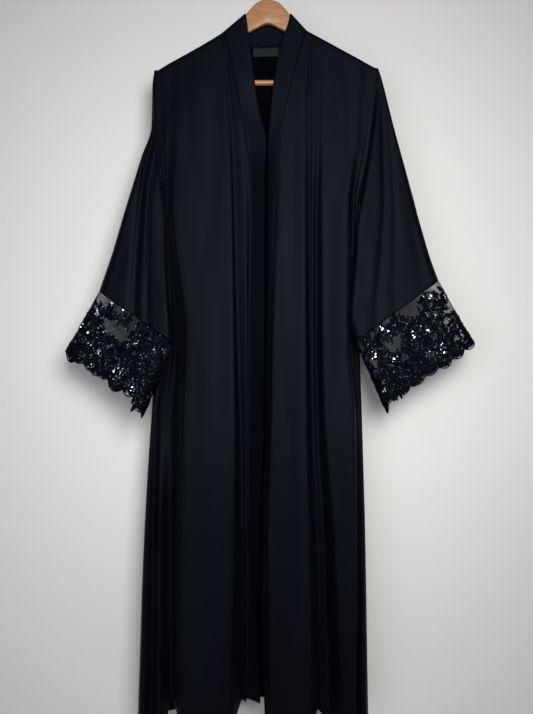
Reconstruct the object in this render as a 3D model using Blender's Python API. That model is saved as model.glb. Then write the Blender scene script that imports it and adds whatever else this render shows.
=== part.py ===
"""Abaya cloak hung on a flat wooden hanger, built in its own frame.

Sizes are in millimetres here and become metres when a mesh is made. +Z is up, the front of
the garment faces -Y and the wearer's right side is at -X. The origin is the inside top of the
hook, where it rests on a rod.
"""
import math
from collections import namedtuple

import bmesh
import bpy
from mathutils import Vector

MM = 0.001

# Walls and clearances
CLOTH_WALL = 1.6
BAND_WALL = 1.6
LACE_WALL = 1.4
LABEL_WALL = 0.8
SEAM_GAP = 0.3
BAND_SEAM_GAP = 0.5
ARMHOLE_GAP = 2.2
LACE_SEAM_GAP = 0.8

# Body of the garment
HEM_Z = -1535.0
HALF_DEPTH_ON_HANGER = 9.5
SHOULDER_ROLL = 6.5
ARMPIT_Z = -489.0
# Heights at which the fold tables give x and y
LEVELS = (-140, -250, -370, -490, -775, -930, -1180, HEM_Z)

# Shoulder line: neck end and sleeve end, wearer's right and left
SHOULDER_RIGHT = ((-89.8, -135.6), (-229.0, -216.5))
SHOULDER_LEFT = ((77.7, -132.0), (226.0, -211.0))
BACK_NECK_DROP_Z = -163.0
# How fast the back neckline falls from the neck points, and the blend to the shoulder roll
NECKLINE_POWER = 1.2
NECKLINE_BLEND = 5.0

# Peaks of the collar, where the front bands meet the back neck band
PEAK_RIGHT = (-46.7, -98.7)
PEAK_LEFT = (47.6, -98.7)
NECK_BAND_SAG = 11.0
NECK_BAND_SAG_POWER = 0.7
# Length over which the back neck band turns from the neck points to the back
NECK_BAND_TURN = 7.0

# Hanger
WOOD_THICK = 13.0
WOOD_EDGE_ROUND = 4.0
BAR_DIAMETER = 11.0
BAR_Z = -239.6
BAR_HALF_LENGTH = 196.0
HOOK_WIRE = 3.6
HOOK_INSIDE_RADIUS = 20.0
WOOD_TOP_Z = -70.0

# Label, sewn inside the back below the neck band
LABEL_X = (-31.0, 24.0)
LABEL_Z = (-166.0, -184.0)
LABEL_TILT = 0.03

Fold = namedtuple("Fold", "name x y")
Ring = namedtuple("Ring", "name upper_x upper_z under_x under_z upper_y under_y half")
Groove = namedtuple("Groove", "name place depth width")
BandSection = namedtuple("BandSection", "seam_x seam_z edge_x edge_z seam_y edge_y turned")
Scallop = namedtuple("Scallop", "start end depth")
Motif = namedtuple("Motif", "across down radius petals")
BackFold = namedtuple("BackFold", "shoulder_x hem_x hem_y")

# Crests and valleys of the wearer's right front, from the band outwards
RIGHT_FRONT = (
    Fold("strip beside the band",
         (-92, -72, -56, -50, -47, -45, -45, -46), (-10.4, -12, -15, -19, -26, -30, -34, -38)),
    Fold("crease by the strip",
         (-96, -79, -71, -67, -56, -51, -50, -50), (-10, -11, -13, -16, -22, -25, -28, -30)),
    Fold("panel, inner crest",
         (-106, -92, -84, -80, -72, -72, -72, -74), (-10.6, -13, -16, -22, -36, -44, -56, -72)),
    Fold("panel, outer crest",
         (-174, -170, -166, -160, -148, -156, -168, -166), (-10.6, -13, -16, -22, -37, -46, -60, -76)),
    Fold("deep valley",
         (-204, -204, -206, -202, -176, -190, -194, -190), (-10, -11, -12.5, -12.5, -12.5, -13, -15, -20)),
    Fold("round fold",
         (-213, -212.5, -213, -206, -196, -216, -219, -216), (-9.8, -10.5, -11, -9.5, -8.5, -13, -34, -50)),
    Fold("narrow valley",
         (-219, -218.5, -218, -209, -207, -230, -232, -234), (-9.7, -10, -10.5, -8.5, -7, -9, -18, -26)),
    Fold("side fold",
         (-225, -223.5, -223, -212, -218, -235, -245, -252), (-9.6, -9.8, -10, -7, -6, -10, -26, -38)),
)
# The same for the wearer's left front
LEFT_FRONT = (
    Fold("panel, inner crest",
         (81, 54, 30, 24, 12, 8, 2, 6), (-10.4, -12, -15, -20, -31, -37, -48, -64)),
    Fold("panel, outer crest",
         (86, 70, 66, 62, 66, 66, 68, 72), (-10.6, -12.5, -15, -20, -34, -41, -54, -72)),
    Fold("first crease",
         (91, 82.5, 83, 83, 84, 85, 92, 98), (-10, -11, -13, -15, -20, -22, -27, -34)),
    Fold("ridge between creases",
         (97, 92.5, 93, 91, 91, 92, 99, 107), (-10.4, -12, -14.5, -18, -25, -28, -31, -33)),
    Fold("second crease",
         (106, 103, 103, 100, 99, 101, 112, 120), (-10, -11, -13, -14, -17, -19, -22, -26)),
    Fold("side panel, inner crest",
         (122, 120, 122, 122, 118, 120, 130, 136), (-10.6, -12.5, -15, -20, -32, -39, -50, -66)),
    Fold("side panel, outer crest",
         (190, 182, 172, 158, 150, 160, 166, 168), (-10.6, -12, -14, -17, -28, -40, -52, -68)),
    Fold("side valley",
         (207, 201, 192, 175, 170, 184, 182, 177), (-9.8, -10.2, -11, -10, -10, -12, -22, -28)),
    Fold("side fold",
         (216, 210, 200, 181, 181, 189, 192, 192), (-9.6, -9.8, -10, -7.5, -7, -12, -30, -42)),
)
# Armhole above the armpit, side seam below it
RIGHT_SIDE_X = (-230, -229.7, -226.5, -214.5, -229, -239.5, -254, -266)
LEFT_SIDE_X = (226, 221, 207, 187, 189, 193.5, 200, 205.5)
# Hidden folds of the back, wearer's right to left: x on the shoulders and at the hem, hem depth
BACK_FOLDS = (
    BackFold(-216, -243, 40),
    BackFold(-192, -206, 17),
    BackFold(-148, -166, 54),
    BackFold(-90.5, -122, 20),
    BackFold(-84, -82, 50),
    BackFold(-40, -42, 18),
    BackFold(-4, -2, 46),
    BackFold(34, 36, 18),
    BackFold(72, 74, 52),
    BackFold(78.5, 108, 20),
    BackFold(138, 142, 50),
    BackFold(182, 172, 17),
    BackFold(212, 191, 36),
)
BACK_FOLD_GROWTH = 1.15

# Front bands from the neck peak to the hem: the seam with the front, the finished edge,
# and how much of the width is turned under behind the edge
BAND_RIGHT = (
    BandSection(-89.4, -135.0, -46.7, -98.7, -0.2, -0.2, 2),
    BandSection(-89.2, -136.4, -46.2, -100.0, -6.5, -7.2, 2),
    BandSection(-88.6, -140.5, -45.2, -104.0, -10.4, -11.7, 2),
    BandSection(-86.0, -152.0, -42.0, -124.0, -10.8, -11.8, 2),
    BandSection(-79.5, -180.0, -37.5, -163.0, -11.0, -11.0, 2),
    BandSection(-71.0, -219.6, -31.0, -210.0, -12.0, -11.5, 2),
    BandSection(-55.5, -295.5, -19.5, -290.0, -13.0, -12.0, 2),
    BandSection(-42.6, -369.0, -3.0, -367.0, -14.0, -12.5, 2),
    BandSection(-36.0, -429.0, -7.0, -428.0, -15.0, -13.0, 10),
    BandSection(-35.5, -482.0, -6.8, -482.0, -16.0, -13.0, 14),
    BandSection(-37.0, -587.0, -6.8, -587.0, -17.0, -13.0, 14),
    BandSection(-38.7, -693.0, -6.4, -693.0, -17.5, -13.0, 14),
    BandSection(-39.0, -929.0, -6.6, -929.0, -19.0, -13.0, 14),
    BandSection(-40.0, -1134.0, -14.0, -1134.0, -19.0, -13.0, 14),
    BandSection(-41.0, -1298.0, -16.5, -1298.0, -18.5, -13.0, 14),
    BandSection(-42.0, -1400.0, -18.0, -1400.0, -18.0, -13.0, 14),
    BandSection(-42.6, HEM_Z, -15.5, HEM_Z, -16.0, -13.0, 14),
)
BAND_LEFT = (
    BandSection(77.4, -131.4, 47.6, -98.7, -0.2, -0.2, 2),
    BandSection(77.2, -132.8, 47.0, -100.0, -6.5, -7.2, 2),
    BandSection(76.6, -137.0, 45.8, -104.0, -10.4, -11.7, 2),
    BandSection(73.5, -150.0, 41.0, -124.0, -10.8, -11.8, 2),
    BandSection(67.0, -170.5, 29.0, -156.0, -11.0, -11.3, 2),
    BandSection(53.0, -226.0, 15.5, -218.0, -12.0, -12.0, 4),
    BandSection(35.3, -293.5, 6.0, -290.0, -13.0, -12.5, 8),
    BandSection(16.8, -371.0, 0.8, -371.0, -14.0, -13.5, 22),
    BandSection(12.7, -445.0, 0.8, -445.0, -16.0, -15.5, 28),
    BandSection(8.6, -517.0, 0.6, -517.0, -18.0, -18.0, 30),
    BandSection(5.0, -600.0, -0.6, -600.0, -20.0, -20.0, 32),
    BandSection(2.6, -693.0, -2.0, -693.0, -22.0, -22.0, 34),
    BandSection(0.9, -929.0, -3.6, -929.0, -28.0, -28.0, 34),
    BandSection(-6.5, -1134.0, -11.0, -1134.0, -36.0, -36.0, 34),
    BandSection(-7.8, -1298.0, -12.2, -1298.0, -42.0, -42.0, 34),
    BandSection(-6.0, -1400.0, -10.4, -1400.0, -46.0, -46.0, 34),
    BandSection(-1.5, HEM_Z, -6.0, HEM_Z, -52.0, -52.0, 34),
)
BAND_FOLD_RADIUS = 1.5

# Sleeves from the armhole to the lace seam, then the lace edge
RIGHT_SLEEVE = (
    Ring("armhole", -229.6, -214.5, -215.4, -488.0, 0, 0, 9.5),
    Ring("shoulder point", -235.5, -240.0, -219.0, -508.0, -1, -13, 9.5),
    Ring("upper arm", -237.5, -328.0, -213.0, -538.0, -3, -21, 9.0),
    Ring("arm", -258.0, -396.0, -206.6, -587.0, -8, -27, 12.0),
    Ring("elbow", -288.5, -498.0, -199.5, -675.0, -13, -32, 15.0),
    Ring("forearm", -319.0, -601.0, -193.0, -735.0, -16, -35, 17.0),
    Ring("lace seam", -342.0, -670.0, -188.8, -774.0, -18, -37, 18.0),
)
LEFT_SLEEVE = (
    Ring("armhole", 226.4, -210.0, 187.8, -488.0, 0, 0, 9.5),
    Ring("shoulder point", 238.0, -252.0, 191.0, -508.0, -1, -13, 9.5),
    Ring("upper arm", 257.0, -330.0, 184.0, -542.0, -3, -22, 9.0),
    Ring("arm", 284.0, -430.0, 176.0, -600.0, -6, -29, 10.0),
    Ring("elbow", 310.0, -530.0, 168.0, -665.0, -10, -34, 12.0),
    Ring("forearm", 330.0, -601.0, 162.5, -722.0, -13, -37, 14.0),
    Ring("lace seam", 347.0, -648.0, 176.0, -771.0, -15, -37, 15.0),
)
RIGHT_CUFF_EDGE = Ring("lace edge", -408.0, -797.0, -243.0, -903.0, -21, -44, 20.0)
LEFT_CUFF_EDGE = Ring("lace edge", 418.0, -781.0, 232.0, -899.0, -18, -44, 17.0)
# Troughs along a sleeve: share of the way from upper to under edge at each ring, depth, width
RIGHT_SLEEVE_GROOVES = (
    Groove("outer trough", (0.04, 0.05, 0.08, 0.16, 0.30, 0.41, 0.48), 6.0, 0.07),
    Groove("inner crease", (0.30, 0.32, 0.36, 0.42, 0.53, 0.61, 0.66), 3.0, 0.05),
)
LEFT_SLEEVE_GROOVES = (
    Groove("inner trough", (0.10, 0.14, 0.29, 0.45, 0.58, 0.67, 0.75), 6.0, 0.07),
    Groove("outer crease", (0.02, 0.04, 0.12, 0.26, 0.38, 0.46, 0.52), 3.0, 0.05),
)
# The back of a sleeve has the same troughs, but shallower
BACK_TROUGH_SHARE = 0.3
# Points of the lace edge between its notches, upper to under edge
RIGHT_SCALLOPS = (
    Scallop(0.00, 0.11, 7), Scallop(0.11, 0.25, 10), Scallop(0.25, 0.40, 10), Scallop(0.40, 0.55, 9),
    Scallop(0.55, 0.73, 17), Scallop(0.73, 0.86, 10), Scallop(0.86, 1.00, 22),
)
LEFT_SCALLOPS = (
    Scallop(0.00, 0.13, 9), Scallop(0.13, 0.27, 12), Scallop(0.27, 0.42, 14), Scallop(0.42, 0.56, 10),
    Scallop(0.56, 0.72, 11), Scallop(0.72, 0.88, 12), Scallop(0.88, 1.00, 8),
)
# Thick applique flowers on the lace: place across and down the cuff, size, petals
LACE_MOTIFS = (
    Motif(0.12, 0.62, 17, 5), Motif(0.32, 0.40, 15, 5), Motif(0.36, 0.82, 18, 6),
    Motif(0.56, 0.58, 20, 5), Motif(0.66, 0.86, 16, 6), Motif(0.80, 0.46, 17, 5),
    Motif(0.90, 0.80, 17, 5),
)
APPLIQUE_HEIGHT = 1.1


def between(start, end, share):
    return start + (end - start) * share


def through(stops, values, at):
    """Smooth value at a falling or rising stop, without overshoot between the given ones."""
    if stops[0] > stops[-1]:
        stops = [-stop for stop in stops]
        at = -at
    at = min(max(at, stops[0]), stops[-1])
    spans = [b - a for a, b in zip(stops, stops[1:])]
    slopes = [(b - a) / span for a, b, span in zip(values, values[1:], spans)]
    tangents = [slopes[0]]
    for before, after in zip(slopes, slopes[1:]):
        tangents.append(2 * before * after / (before + after) if before * after > 0 else 0.0)
    tangents.append(slopes[-1])
    leg = max(i for i in range(len(spans)) if stops[i] <= at)
    t = (at - stops[leg]) / spans[leg]
    return (
        (2 * t**3 - 3 * t**2 + 1) * values[leg]
        + (t**3 - 2 * t**2 + t) * spans[leg] * tangents[leg]
        + (3 * t**2 - 2 * t**3) * values[leg + 1]
        + (t**3 - t**2) * spans[leg] * tangents[leg + 1]
    )


def ease(share):
    return (1 - math.cos(math.pi * share)) / 2


def stations(cells_per_leg):
    """Even stops along each leg, numbered so that leg i runs from i to i + 1."""
    stops = [0.0]
    for leg, cells in enumerate(cells_per_leg):
        stops += [leg + step / cells for step in range(1, cells + 1)]
    return stops


# Materials and meshes


def cloth_material(name, colour, roughness, metallic=0.0):
    material = bpy.data.materials.new(name)
    material.use_nodes = True
    shader = material.node_tree.nodes["Principled BSDF"]
    shader.inputs["Base Color"].default_value = (*colour, 1.0)
    shader.inputs["Roughness"].default_value = roughness
    shader.inputs["Metallic"].default_value = metallic
    return material


def make_object(name, points, faces, material, smooth=True):
    mesh = bpy.data.meshes.new(name)
    mesh.from_pydata([point * MM for point in points], [], faces)
    solid = bmesh.new()
    solid.from_mesh(mesh)
    bmesh.ops.recalc_face_normals(solid, faces=solid.faces)
    solid.to_mesh(mesh)
    solid.free()
    if smooth:
        mesh.shade_smooth()
        mesh.set_sharp_from_angle(angle=math.radians(50))
    mesh.materials.append(material)
    piece = bpy.data.objects.new(name, mesh)
    bpy.context.scene.collection.objects.link(piece)
    return piece


def normal_of(surface, u, v, u_range, v_range, step=1e-3):
    """Unit normal of a surface from small steps that stay inside its ranges."""
    u_low, u_high = max(u - step, u_range[0]), min(u + step, u_range[1])
    v_low, v_high = max(v - step, v_range[0]), min(v + step, v_range[1])
    along_u = surface(u_high, v) - surface(u_low, v)
    along_v = surface(u, v_high) - surface(u, v_low)
    return along_u.cross(along_v).normalized()


def make_wall(name, surface, us, vs, thickness, material, ring=False, relief=None, outside=1):
    """Closed wall of even thickness about a surface given by a function of u and v.

    A ring is closed in u, and its last u is the same place as its first. Relief raises the
    points on the outside only, which is the side that the normal times outside points to.
    """
    columns = len(us) - 1 if ring else len(us)
    u_range = (us[0] - 1, us[-1] + 1) if ring else (us[0], us[-1])
    v_range = (vs[0], vs[-1])
    outer, inner = [], []
    for v in vs:
        for u in us[:columns]:
            point = surface(u, v)
            reach = normal_of(surface, u, v, u_range, v_range) * (thickness / 2) * outside
            raised = relief(u, v) if relief else 0.0
            outer.append(point + reach * (1 + 2 * raised / thickness))
            inner.append(point - reach)
    count = len(outer)
    rows = len(vs)
    faces = []
    for row in range(rows - 1):
        for column in range(len(us) - 1):
            a = row * columns + column
            b = row * columns + (column + 1) % columns
            quad = (a, b, b + columns, a + columns)
            faces.append(quad)
            faces.append(tuple(count + corner for corner in reversed(quad)))
    rim = []
    for column in range(len(us) - 1):
        rim.append((column, (column + 1) % columns))
        last = (rows - 1) * columns
        rim.append((last + (column + 1) % columns, last + column))
    if not ring:
        for row in range(rows - 1):
            rim.append(((row + 1) * columns, row * columns))
            rim.append((row * columns + columns - 1, (row + 1) * columns + columns - 1))
    for a, b in rim:
        faces.append((b, a, a + count, b + count))
    return make_object(name, outer + inner, faces, material)


# Body panels


def seam_x(sections, z):
    heights = [section.seam_z for section in sections]
    return through(heights, [section.seam_x for section in sections], z)


def seam_y(sections, z):
    heights = [section.seam_z for section in sections[2:]]
    return through(heights, [section.seam_y for section in sections[2:]], z)


def side_depth(z):
    """Half depth at the side edge: open at the armhole, closed at the side seam below it."""
    start = ARMPIT_Z + HALF_DEPTH_ON_HANGER
    if z >= start:
        return HALF_DEPTH_ON_HANGER
    closed = SEAM_GAP / 2
    share = min((start - z) / HALF_DEPTH_ON_HANGER, 1.0)
    return max(closed, HALF_DEPTH_ON_HANGER * math.sqrt(1 - share**2))


def side_edge(side_x, z, away):
    """Side edge of a body panel, set in by half a wall where it turns to the side seam."""
    depth = side_depth(z)
    set_in = CLOTH_WALL / 2 * (1 - depth / HALF_DEPTH_ON_HANGER)
    return through(LEVELS, side_x, z) - away * set_in, depth


def across_section(points, u):
    """Point on a section through crests and valleys, its last leg a quarter turn to the side."""
    legs = len(points) - 1
    leg = min(int(u), legs - 1)
    share = u - leg
    (x0, y0), (x1, y1) = points[leg], points[leg + 1]
    if leg == legs - 1:
        turn = math.pi / 2 * share
        return between(x0, x1, math.sin(turn)), y1 + (y0 - y1) * math.cos(turn)
    return between(x0, x1, share), between(y0, y1, ease(share))


def front_surface(folds, sections, side_x, shoulder, away):
    """Surface of a front: u counts the legs between folds, v runs from shoulder to hem.

    Away is -1 on the wearer's right and 1 on the left. v from 0 to 1 is the turn over the
    hanger and v from 1 to 2 is the drop to the hem.
    """
    (neck_x, neck_z), (tip_x, tip_z) = shoulder

    def section(z):
        edge = (seam_x(sections, z) + away * BAND_SEAM_GAP, seam_y(sections, z))
        crests = [(through(LEVELS, fold.x, z), through(LEVELS, fold.y, z)) for fold in folds]
        x, depth = side_edge(side_x, z, away)
        return [edge] + crests + [(x, -depth)]

    def surface(u, v):
        top_x, _ = across_section(section(neck_z), u)
        share = (top_x - seam_x(sections, neck_z)) / (tip_x - seam_x(sections, neck_z))
        top_z = between(neck_z, tip_z, min(max(share, 0), 1)) - CLOTH_WALL / 2
        turn = math.pi / 2 * min(v, 1.0)
        below = SHOULDER_ROLL * (1 - math.cos(turn))
        if v > 1:
            below += (top_z - SHOULDER_ROLL - HEM_Z) * (v - 1)
        z = top_z - below
        x, y = across_section(section(z), u)
        seam = -SEAM_GAP / 2
        return Vector((x, seam + (y - seam) * math.sin(turn), z))

    return surface


def back_top_z(x):
    """Top edge of the back: both shoulder lines and the neckline between them."""
    (right_neck_x, right_neck_z), (right_tip_x, right_tip_z) = SHOULDER_RIGHT
    (left_neck_x, left_neck_z), (left_tip_x, left_tip_z) = SHOULDER_LEFT
    if x <= right_neck_x:
        return between(right_neck_z, right_tip_z, (x - right_neck_x) / (right_tip_x - right_neck_x))
    if x >= left_neck_x:
        return between(left_neck_z, left_tip_z, (x - left_neck_x) / (left_tip_x - left_neck_x))
    share = (x - right_neck_x) / (left_neck_x - right_neck_x)
    line = between(right_neck_z, left_neck_z, share)
    return line + (BACK_NECK_DROP_Z - line) * math.sin(math.pi * share) ** NECKLINE_POWER


def neckline_share(x):
    """0 on the shoulders and 1 on the neckline, with a short blend at the neck points."""
    inside = min(x - SHOULDER_RIGHT[0][0], SHOULDER_LEFT[0][0] - x)
    return ease(min(max(inside / NECKLINE_BLEND, 0.0), 1.0))


def back_section(z):
    """Crests and valleys of the back at a height, spread between its side edges."""
    fall = min(max((LEVELS[0] - z) / (LEVELS[0] - HEM_Z), 0.0), 1.0)
    points = [side_edge(RIGHT_SIDE_X, z, -1)]
    left, left_depth = side_edge(LEFT_SIDE_X, z, 1)
    shoulder_width = LEFT_SIDE_X[0] - RIGHT_SIDE_X[0]
    hem_width = LEFT_SIDE_X[-1] - RIGHT_SIDE_X[-1]
    for fold in BACK_FOLDS:
        top_place = (fold.shoulder_x - RIGHT_SIDE_X[0]) / shoulder_width
        hem_place = (fold.hem_x - RIGHT_SIDE_X[-1]) / hem_width
        x = between(points[0][0], left, between(top_place, hem_place, fall))
        depth = HALF_DEPTH_ON_HANGER + (fold.hem_y - HALF_DEPTH_ON_HANGER) * fall**BACK_FOLD_GROWTH
        points.append((x, depth))
    return points + [(left, left_depth)]


def back_surface(u, v):
    def on_section(z):
        points = back_section(z)
        if u <= 1:
            x, y = across_section(points[1::-1], 1 - u)
        else:
            x, y = across_section(points, u)
        return x, y

    top_x, _ = on_section(SHOULDER_RIGHT[0][1])
    flat = neckline_share(top_x)
    top_z = back_top_z(top_x) - CLOTH_WALL / 2 * (1 - flat)
    turn = math.pi / 2 * min(v, 1.0)
    below = SHOULDER_ROLL * (1 - math.cos(turn))
    if v > 1:
        below += (top_z - SHOULDER_ROLL - HEM_Z) * (v - 1)
    z = top_z - below
    x, y = on_section(z)
    seam = SEAM_GAP / 2
    rolled = seam + (y - seam) * math.sin(turn)
    return Vector((x, between(rolled, y, flat), z))


BODY_ROWS = (
    [0, 0.34, 0.67, 1.0]
    + [1 + share for share in (0.04, 0.09, 0.14, 0.185, 0.20, 0.212, 0.26, 0.33, 0.41, 0.49, 0.57)]
    + [1 + share for share in (0.66, 0.77, 0.88, 1.0)]
)


def make_body(material):
    right_cells = (1, 2, 2, 3, 3, 2, 2, 1, 4)
    left_cells = (1, 2, 2, 1, 1, 2, 3, 3, 2, 4)
    back_cells = (4,) + (2,) * (len(BACK_FOLDS) - 1) + (4,)
    right = front_surface(RIGHT_FRONT, BAND_RIGHT, RIGHT_SIDE_X, SHOULDER_RIGHT, -1)
    left = front_surface(LEFT_FRONT, BAND_LEFT, LEFT_SIDE_X, SHOULDER_LEFT, 1)
    make_wall("front_right", right, stations(right_cells), BODY_ROWS, CLOTH_WALL, material)
    make_wall("front_left", left, stations(left_cells), BODY_ROWS, CLOTH_WALL, material)
    make_wall("back_panel", back_surface, stations(back_cells), BODY_ROWS, CLOTH_WALL, material)


# Bands and label


def band_surface(sections, away):
    """Front band: u counts flat part, folded edge and turned-under part, v is the seam's drop."""
    heights = [section.seam_z for section in sections]
    columns = {
        field: [getattr(section, field) for section in sections] for field in BandSection._fields
    }

    def ends(z):
        now = {field: through(heights, values, z) for field, values in columns.items()}
        seam = Vector((now["seam_x"], now["seam_y"], z))
        edge = Vector((now["edge_x"], now["edge_y"], now["edge_z"]))
        return seam, edge, now["turned"]

    def surface(u, v):
        radius = BAND_FOLD_RADIUS
        seam, edge, turned = ends(-v)
        step = 0.5
        above, below = min(-v + step, heights[0]), max(-v - step, heights[-1])
        along = ends(below)[0] + ends(below)[1] - ends(above)[0] - ends(above)[1]
        inward = (edge - seam).normalized()
        back = along.cross(inward).normalized() * away
        fold = edge - inward * radius
        if u <= 1:
            return seam.lerp(fold, u)
        if u <= 2:
            turn = math.pi * (u - 1)
            return fold + inward * radius * math.sin(turn) + back * radius * (1 - math.cos(turn))
        return fold + back * 2 * radius - inward * turned * (u - 2)

    return surface


def neck_band_surface(u, v):
    """Back of the neck band: u from the wearer's right to left, v from its top to its seam."""
    gap = BAND_SEAM_GAP
    right_peak = Vector((PEAK_RIGHT[0], 0, PEAK_RIGHT[1]))
    left_peak = Vector((PEAK_LEFT[0], 0, PEAK_LEFT[1]))
    right_neck = Vector((SHOULDER_RIGHT[0][0], 0, SHOULDER_RIGHT[0][1]))
    left_neck = Vector((SHOULDER_LEFT[0][0], 0, SHOULDER_LEFT[0][1]))
    sag = NECK_BAND_SAG * math.sin(math.pi * u) ** NECK_BAND_SAG_POWER
    top = right_peak.lerp(left_peak, u) + Vector((0, 0, -sag))
    seam = right_neck.lerp(left_neck, u)
    seam.z = back_top_z(seam.x) + gap + CLOTH_WALL / 2 * (1 - neckline_share(seam.x))
    point = top.lerp(seam, v)
    width = (left_neck.x - right_neck.x) * min(u, 1 - u)
    turn = math.acos(1 - min(width / NECK_BAND_TURN, 1.0))
    point.y = gap / 2 + HALF_DEPTH_ON_HANGER * math.sin(turn)
    return point


def make_bands(material):
    sides = (
        ("right", BAND_RIGHT, RIGHT_FRONT, RIGHT_SIDE_X, SHOULDER_RIGHT, -1),
        ("left", BAND_LEFT, LEFT_FRONT, LEFT_SIDE_X, SHOULDER_LEFT, 1),
    )
    for side, sections, folds, side_x, shoulder, away in sides:
        front = front_surface(folds, sections, side_x, shoulder, away)
        drops = [-front(0, v).z for v in BODY_ROWS]
        surface = band_surface(sections, away)
        make_wall(f"band_{side}", surface, stations((2, 3, 2)), drops, BAND_WALL, material)
    across = [0, 0.012, 0.026, 0.042] + [0.042 + 0.916 * step / 8 for step in range(1, 8)]
    across += [1 - share for share in (0.042, 0.026, 0.012, 0)]
    make_wall("band_back_neck", neck_band_surface, across, [0, 0.5, 1.0], BAND_WALL, material)


def label_surface(u, v):
    x = between(*LABEL_X, u)
    z = between(*LABEL_Z, v) + (x - LABEL_X[0]) * LABEL_TILT
    away_from_back = CLOTH_WALL / 2 + SEAM_GAP + LABEL_WALL / 2
    return Vector((x, HALF_DEPTH_ON_HANGER - away_from_back, z))


def make_label(material):
    make_wall("label", label_surface, [0, 0.5, 1], [0, 1], LABEL_WALL, material)


# Sleeves and lace cuffs


def groove_depth(grooves, w, v):
    """Depth of the troughs at a share w across the sleeve, grown over its first two rings."""
    depth = 0.0
    for groove in grooves:
        place = through(range(len(groove.place)), groove.place, v)
        depth += groove.depth * math.exp(-(((w - place) / groove.width) ** 2)) * min(v / 2, 1.0)
    return depth


def ring_at(rings, v):
    places = range(len(rings))
    return [
        through(places, [getattr(ring, field) for ring in rings], v) for field in Ring._fields[1:]
    ]


def on_ring(ring, u, trough):
    """Point on a flattened ring: u counts front, under end, back and upper end."""
    upper_x, upper_z, under_x, under_z, upper_y, under_y, half = ring
    length = math.hypot(under_x - upper_x, under_z - upper_z)
    inset = half / length
    leg = min(int(u), 3)
    share = u - leg
    turn = math.pi * share
    if leg == 0:
        w, offset = between(inset, 1 - inset, share), -half
    elif leg == 1:
        w, offset = 1 - inset + inset * math.sin(turn), -half * math.cos(turn)
    elif leg == 2:
        w, offset = between(1 - inset, inset, share), half
    else:
        w, offset = inset - inset * math.sin(turn), half * math.cos(turn)
    centre = between(upper_y, under_y, w)
    share_of_trough = 1.0 if offset < 0 else BACK_TROUGH_SHARE
    y = centre + offset * (1 - share_of_trough * trough(w) / half)
    return Vector((between(upper_x, under_x, w), y, between(upper_z, under_z, w)))


def sleeve_surface(rings, grooves, side_x, away):
    """Sleeve from the armhole to the lace seam: v counts the rings."""

    def surface(u, v):
        point = on_ring(ring_at(rings, v), u % 4, lambda w: groove_depth(grooves, w, v))
        armhole_x = through(LEVELS, side_x, point.z) + away * ARMHOLE_GAP
        first = rings[0]
        share = (point.z - first.upper_z) / (first.under_z - first.upper_z)
        straight_x = between(first.upper_x, first.under_x, share)
        point.x += (armhole_x - straight_x) * max(1 - v, 0.0) ** 2
        return point

    return surface


def scallop_reach(scallops, w):
    """How far the lace edge reaches below its notches."""
    for scallop in scallops:
        if scallop.start <= w <= scallop.end:
            share = (w - scallop.start) / (scallop.end - scallop.start)
            return scallop.depth * math.sin(math.pi * share) ** 0.6
    return 0.0


def cuff_surface(seam_ring, edge_ring, grooves, scallops, behind):
    """Half of a lace cuff: u runs across from upper to under edge, v from seam to scallops."""
    seam_values, edge_values = list(seam_ring)[1:], list(edge_ring)[1:]
    last = len(grooves[0].place) - 1

    def surface(u, v):
        turn_share = 0.5 * SEAM_GAP / seam_ring.half
        ring = [between(a, b, v) for a, b in zip(seam_values, edge_values)]
        if u < 1:
            place = 3.5 + 0.5 * between(turn_share, 1, u)
        elif u <= 2:
            place = u - 1
        else:
            place = 1 + 0.5 * between(0, 1 - turn_share, u - 2)
        depth_share = BACK_TROUGH_SHARE if behind else 1.0
        point = on_ring(ring, place, lambda w: depth_share * groove_depth(grooves, w, last))
        w = (point.x - ring[0]) / (ring[2] - ring[0])
        if behind:
            point.y = 2 * between(ring[4], ring[5], w) - point.y
        down = Vector((
            between(edge_ring.upper_x - seam_ring.upper_x, edge_ring.under_x - seam_ring.under_x, w),
            0,
            between(edge_ring.upper_z - seam_ring.upper_z, edge_ring.under_z - seam_ring.under_z, w),
        )).normalized()
        share = w if not behind else 1 - w
        return point + down * (LACE_SEAM_GAP * (1 - v) + scallop_reach(scallops, share) * v)

    return surface


def applique_relief(surface, seam_ring, edge_ring):
    """Height of the raised flowers at a place on the cuff, from the motif table."""
    corners = [surface(1, 0), surface(2, 0), surface(1, 1), surface(2, 1)]

    def relief(u, v):
        if v <= 0.02 or v >= 0.98 or u <= 1 or u >= 2:
            return 0.0
        here = surface(u, v)
        for motif in LACE_MOTIFS:
            top = corners[0].lerp(corners[1], motif.across)
            bottom = corners[2].lerp(corners[3], motif.across)
            centre = top.lerp(bottom, motif.down)
            dx, dz = here.x - centre.x, here.z - centre.z
            angle = math.atan2(dz, dx)
            outline = motif.radius * (0.8 + 0.2 * math.cos(motif.petals * angle))
            if math.hypot(dx, dz) < outline:
                return APPLIQUE_HEIGHT
        return 0.0

    return relief


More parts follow.
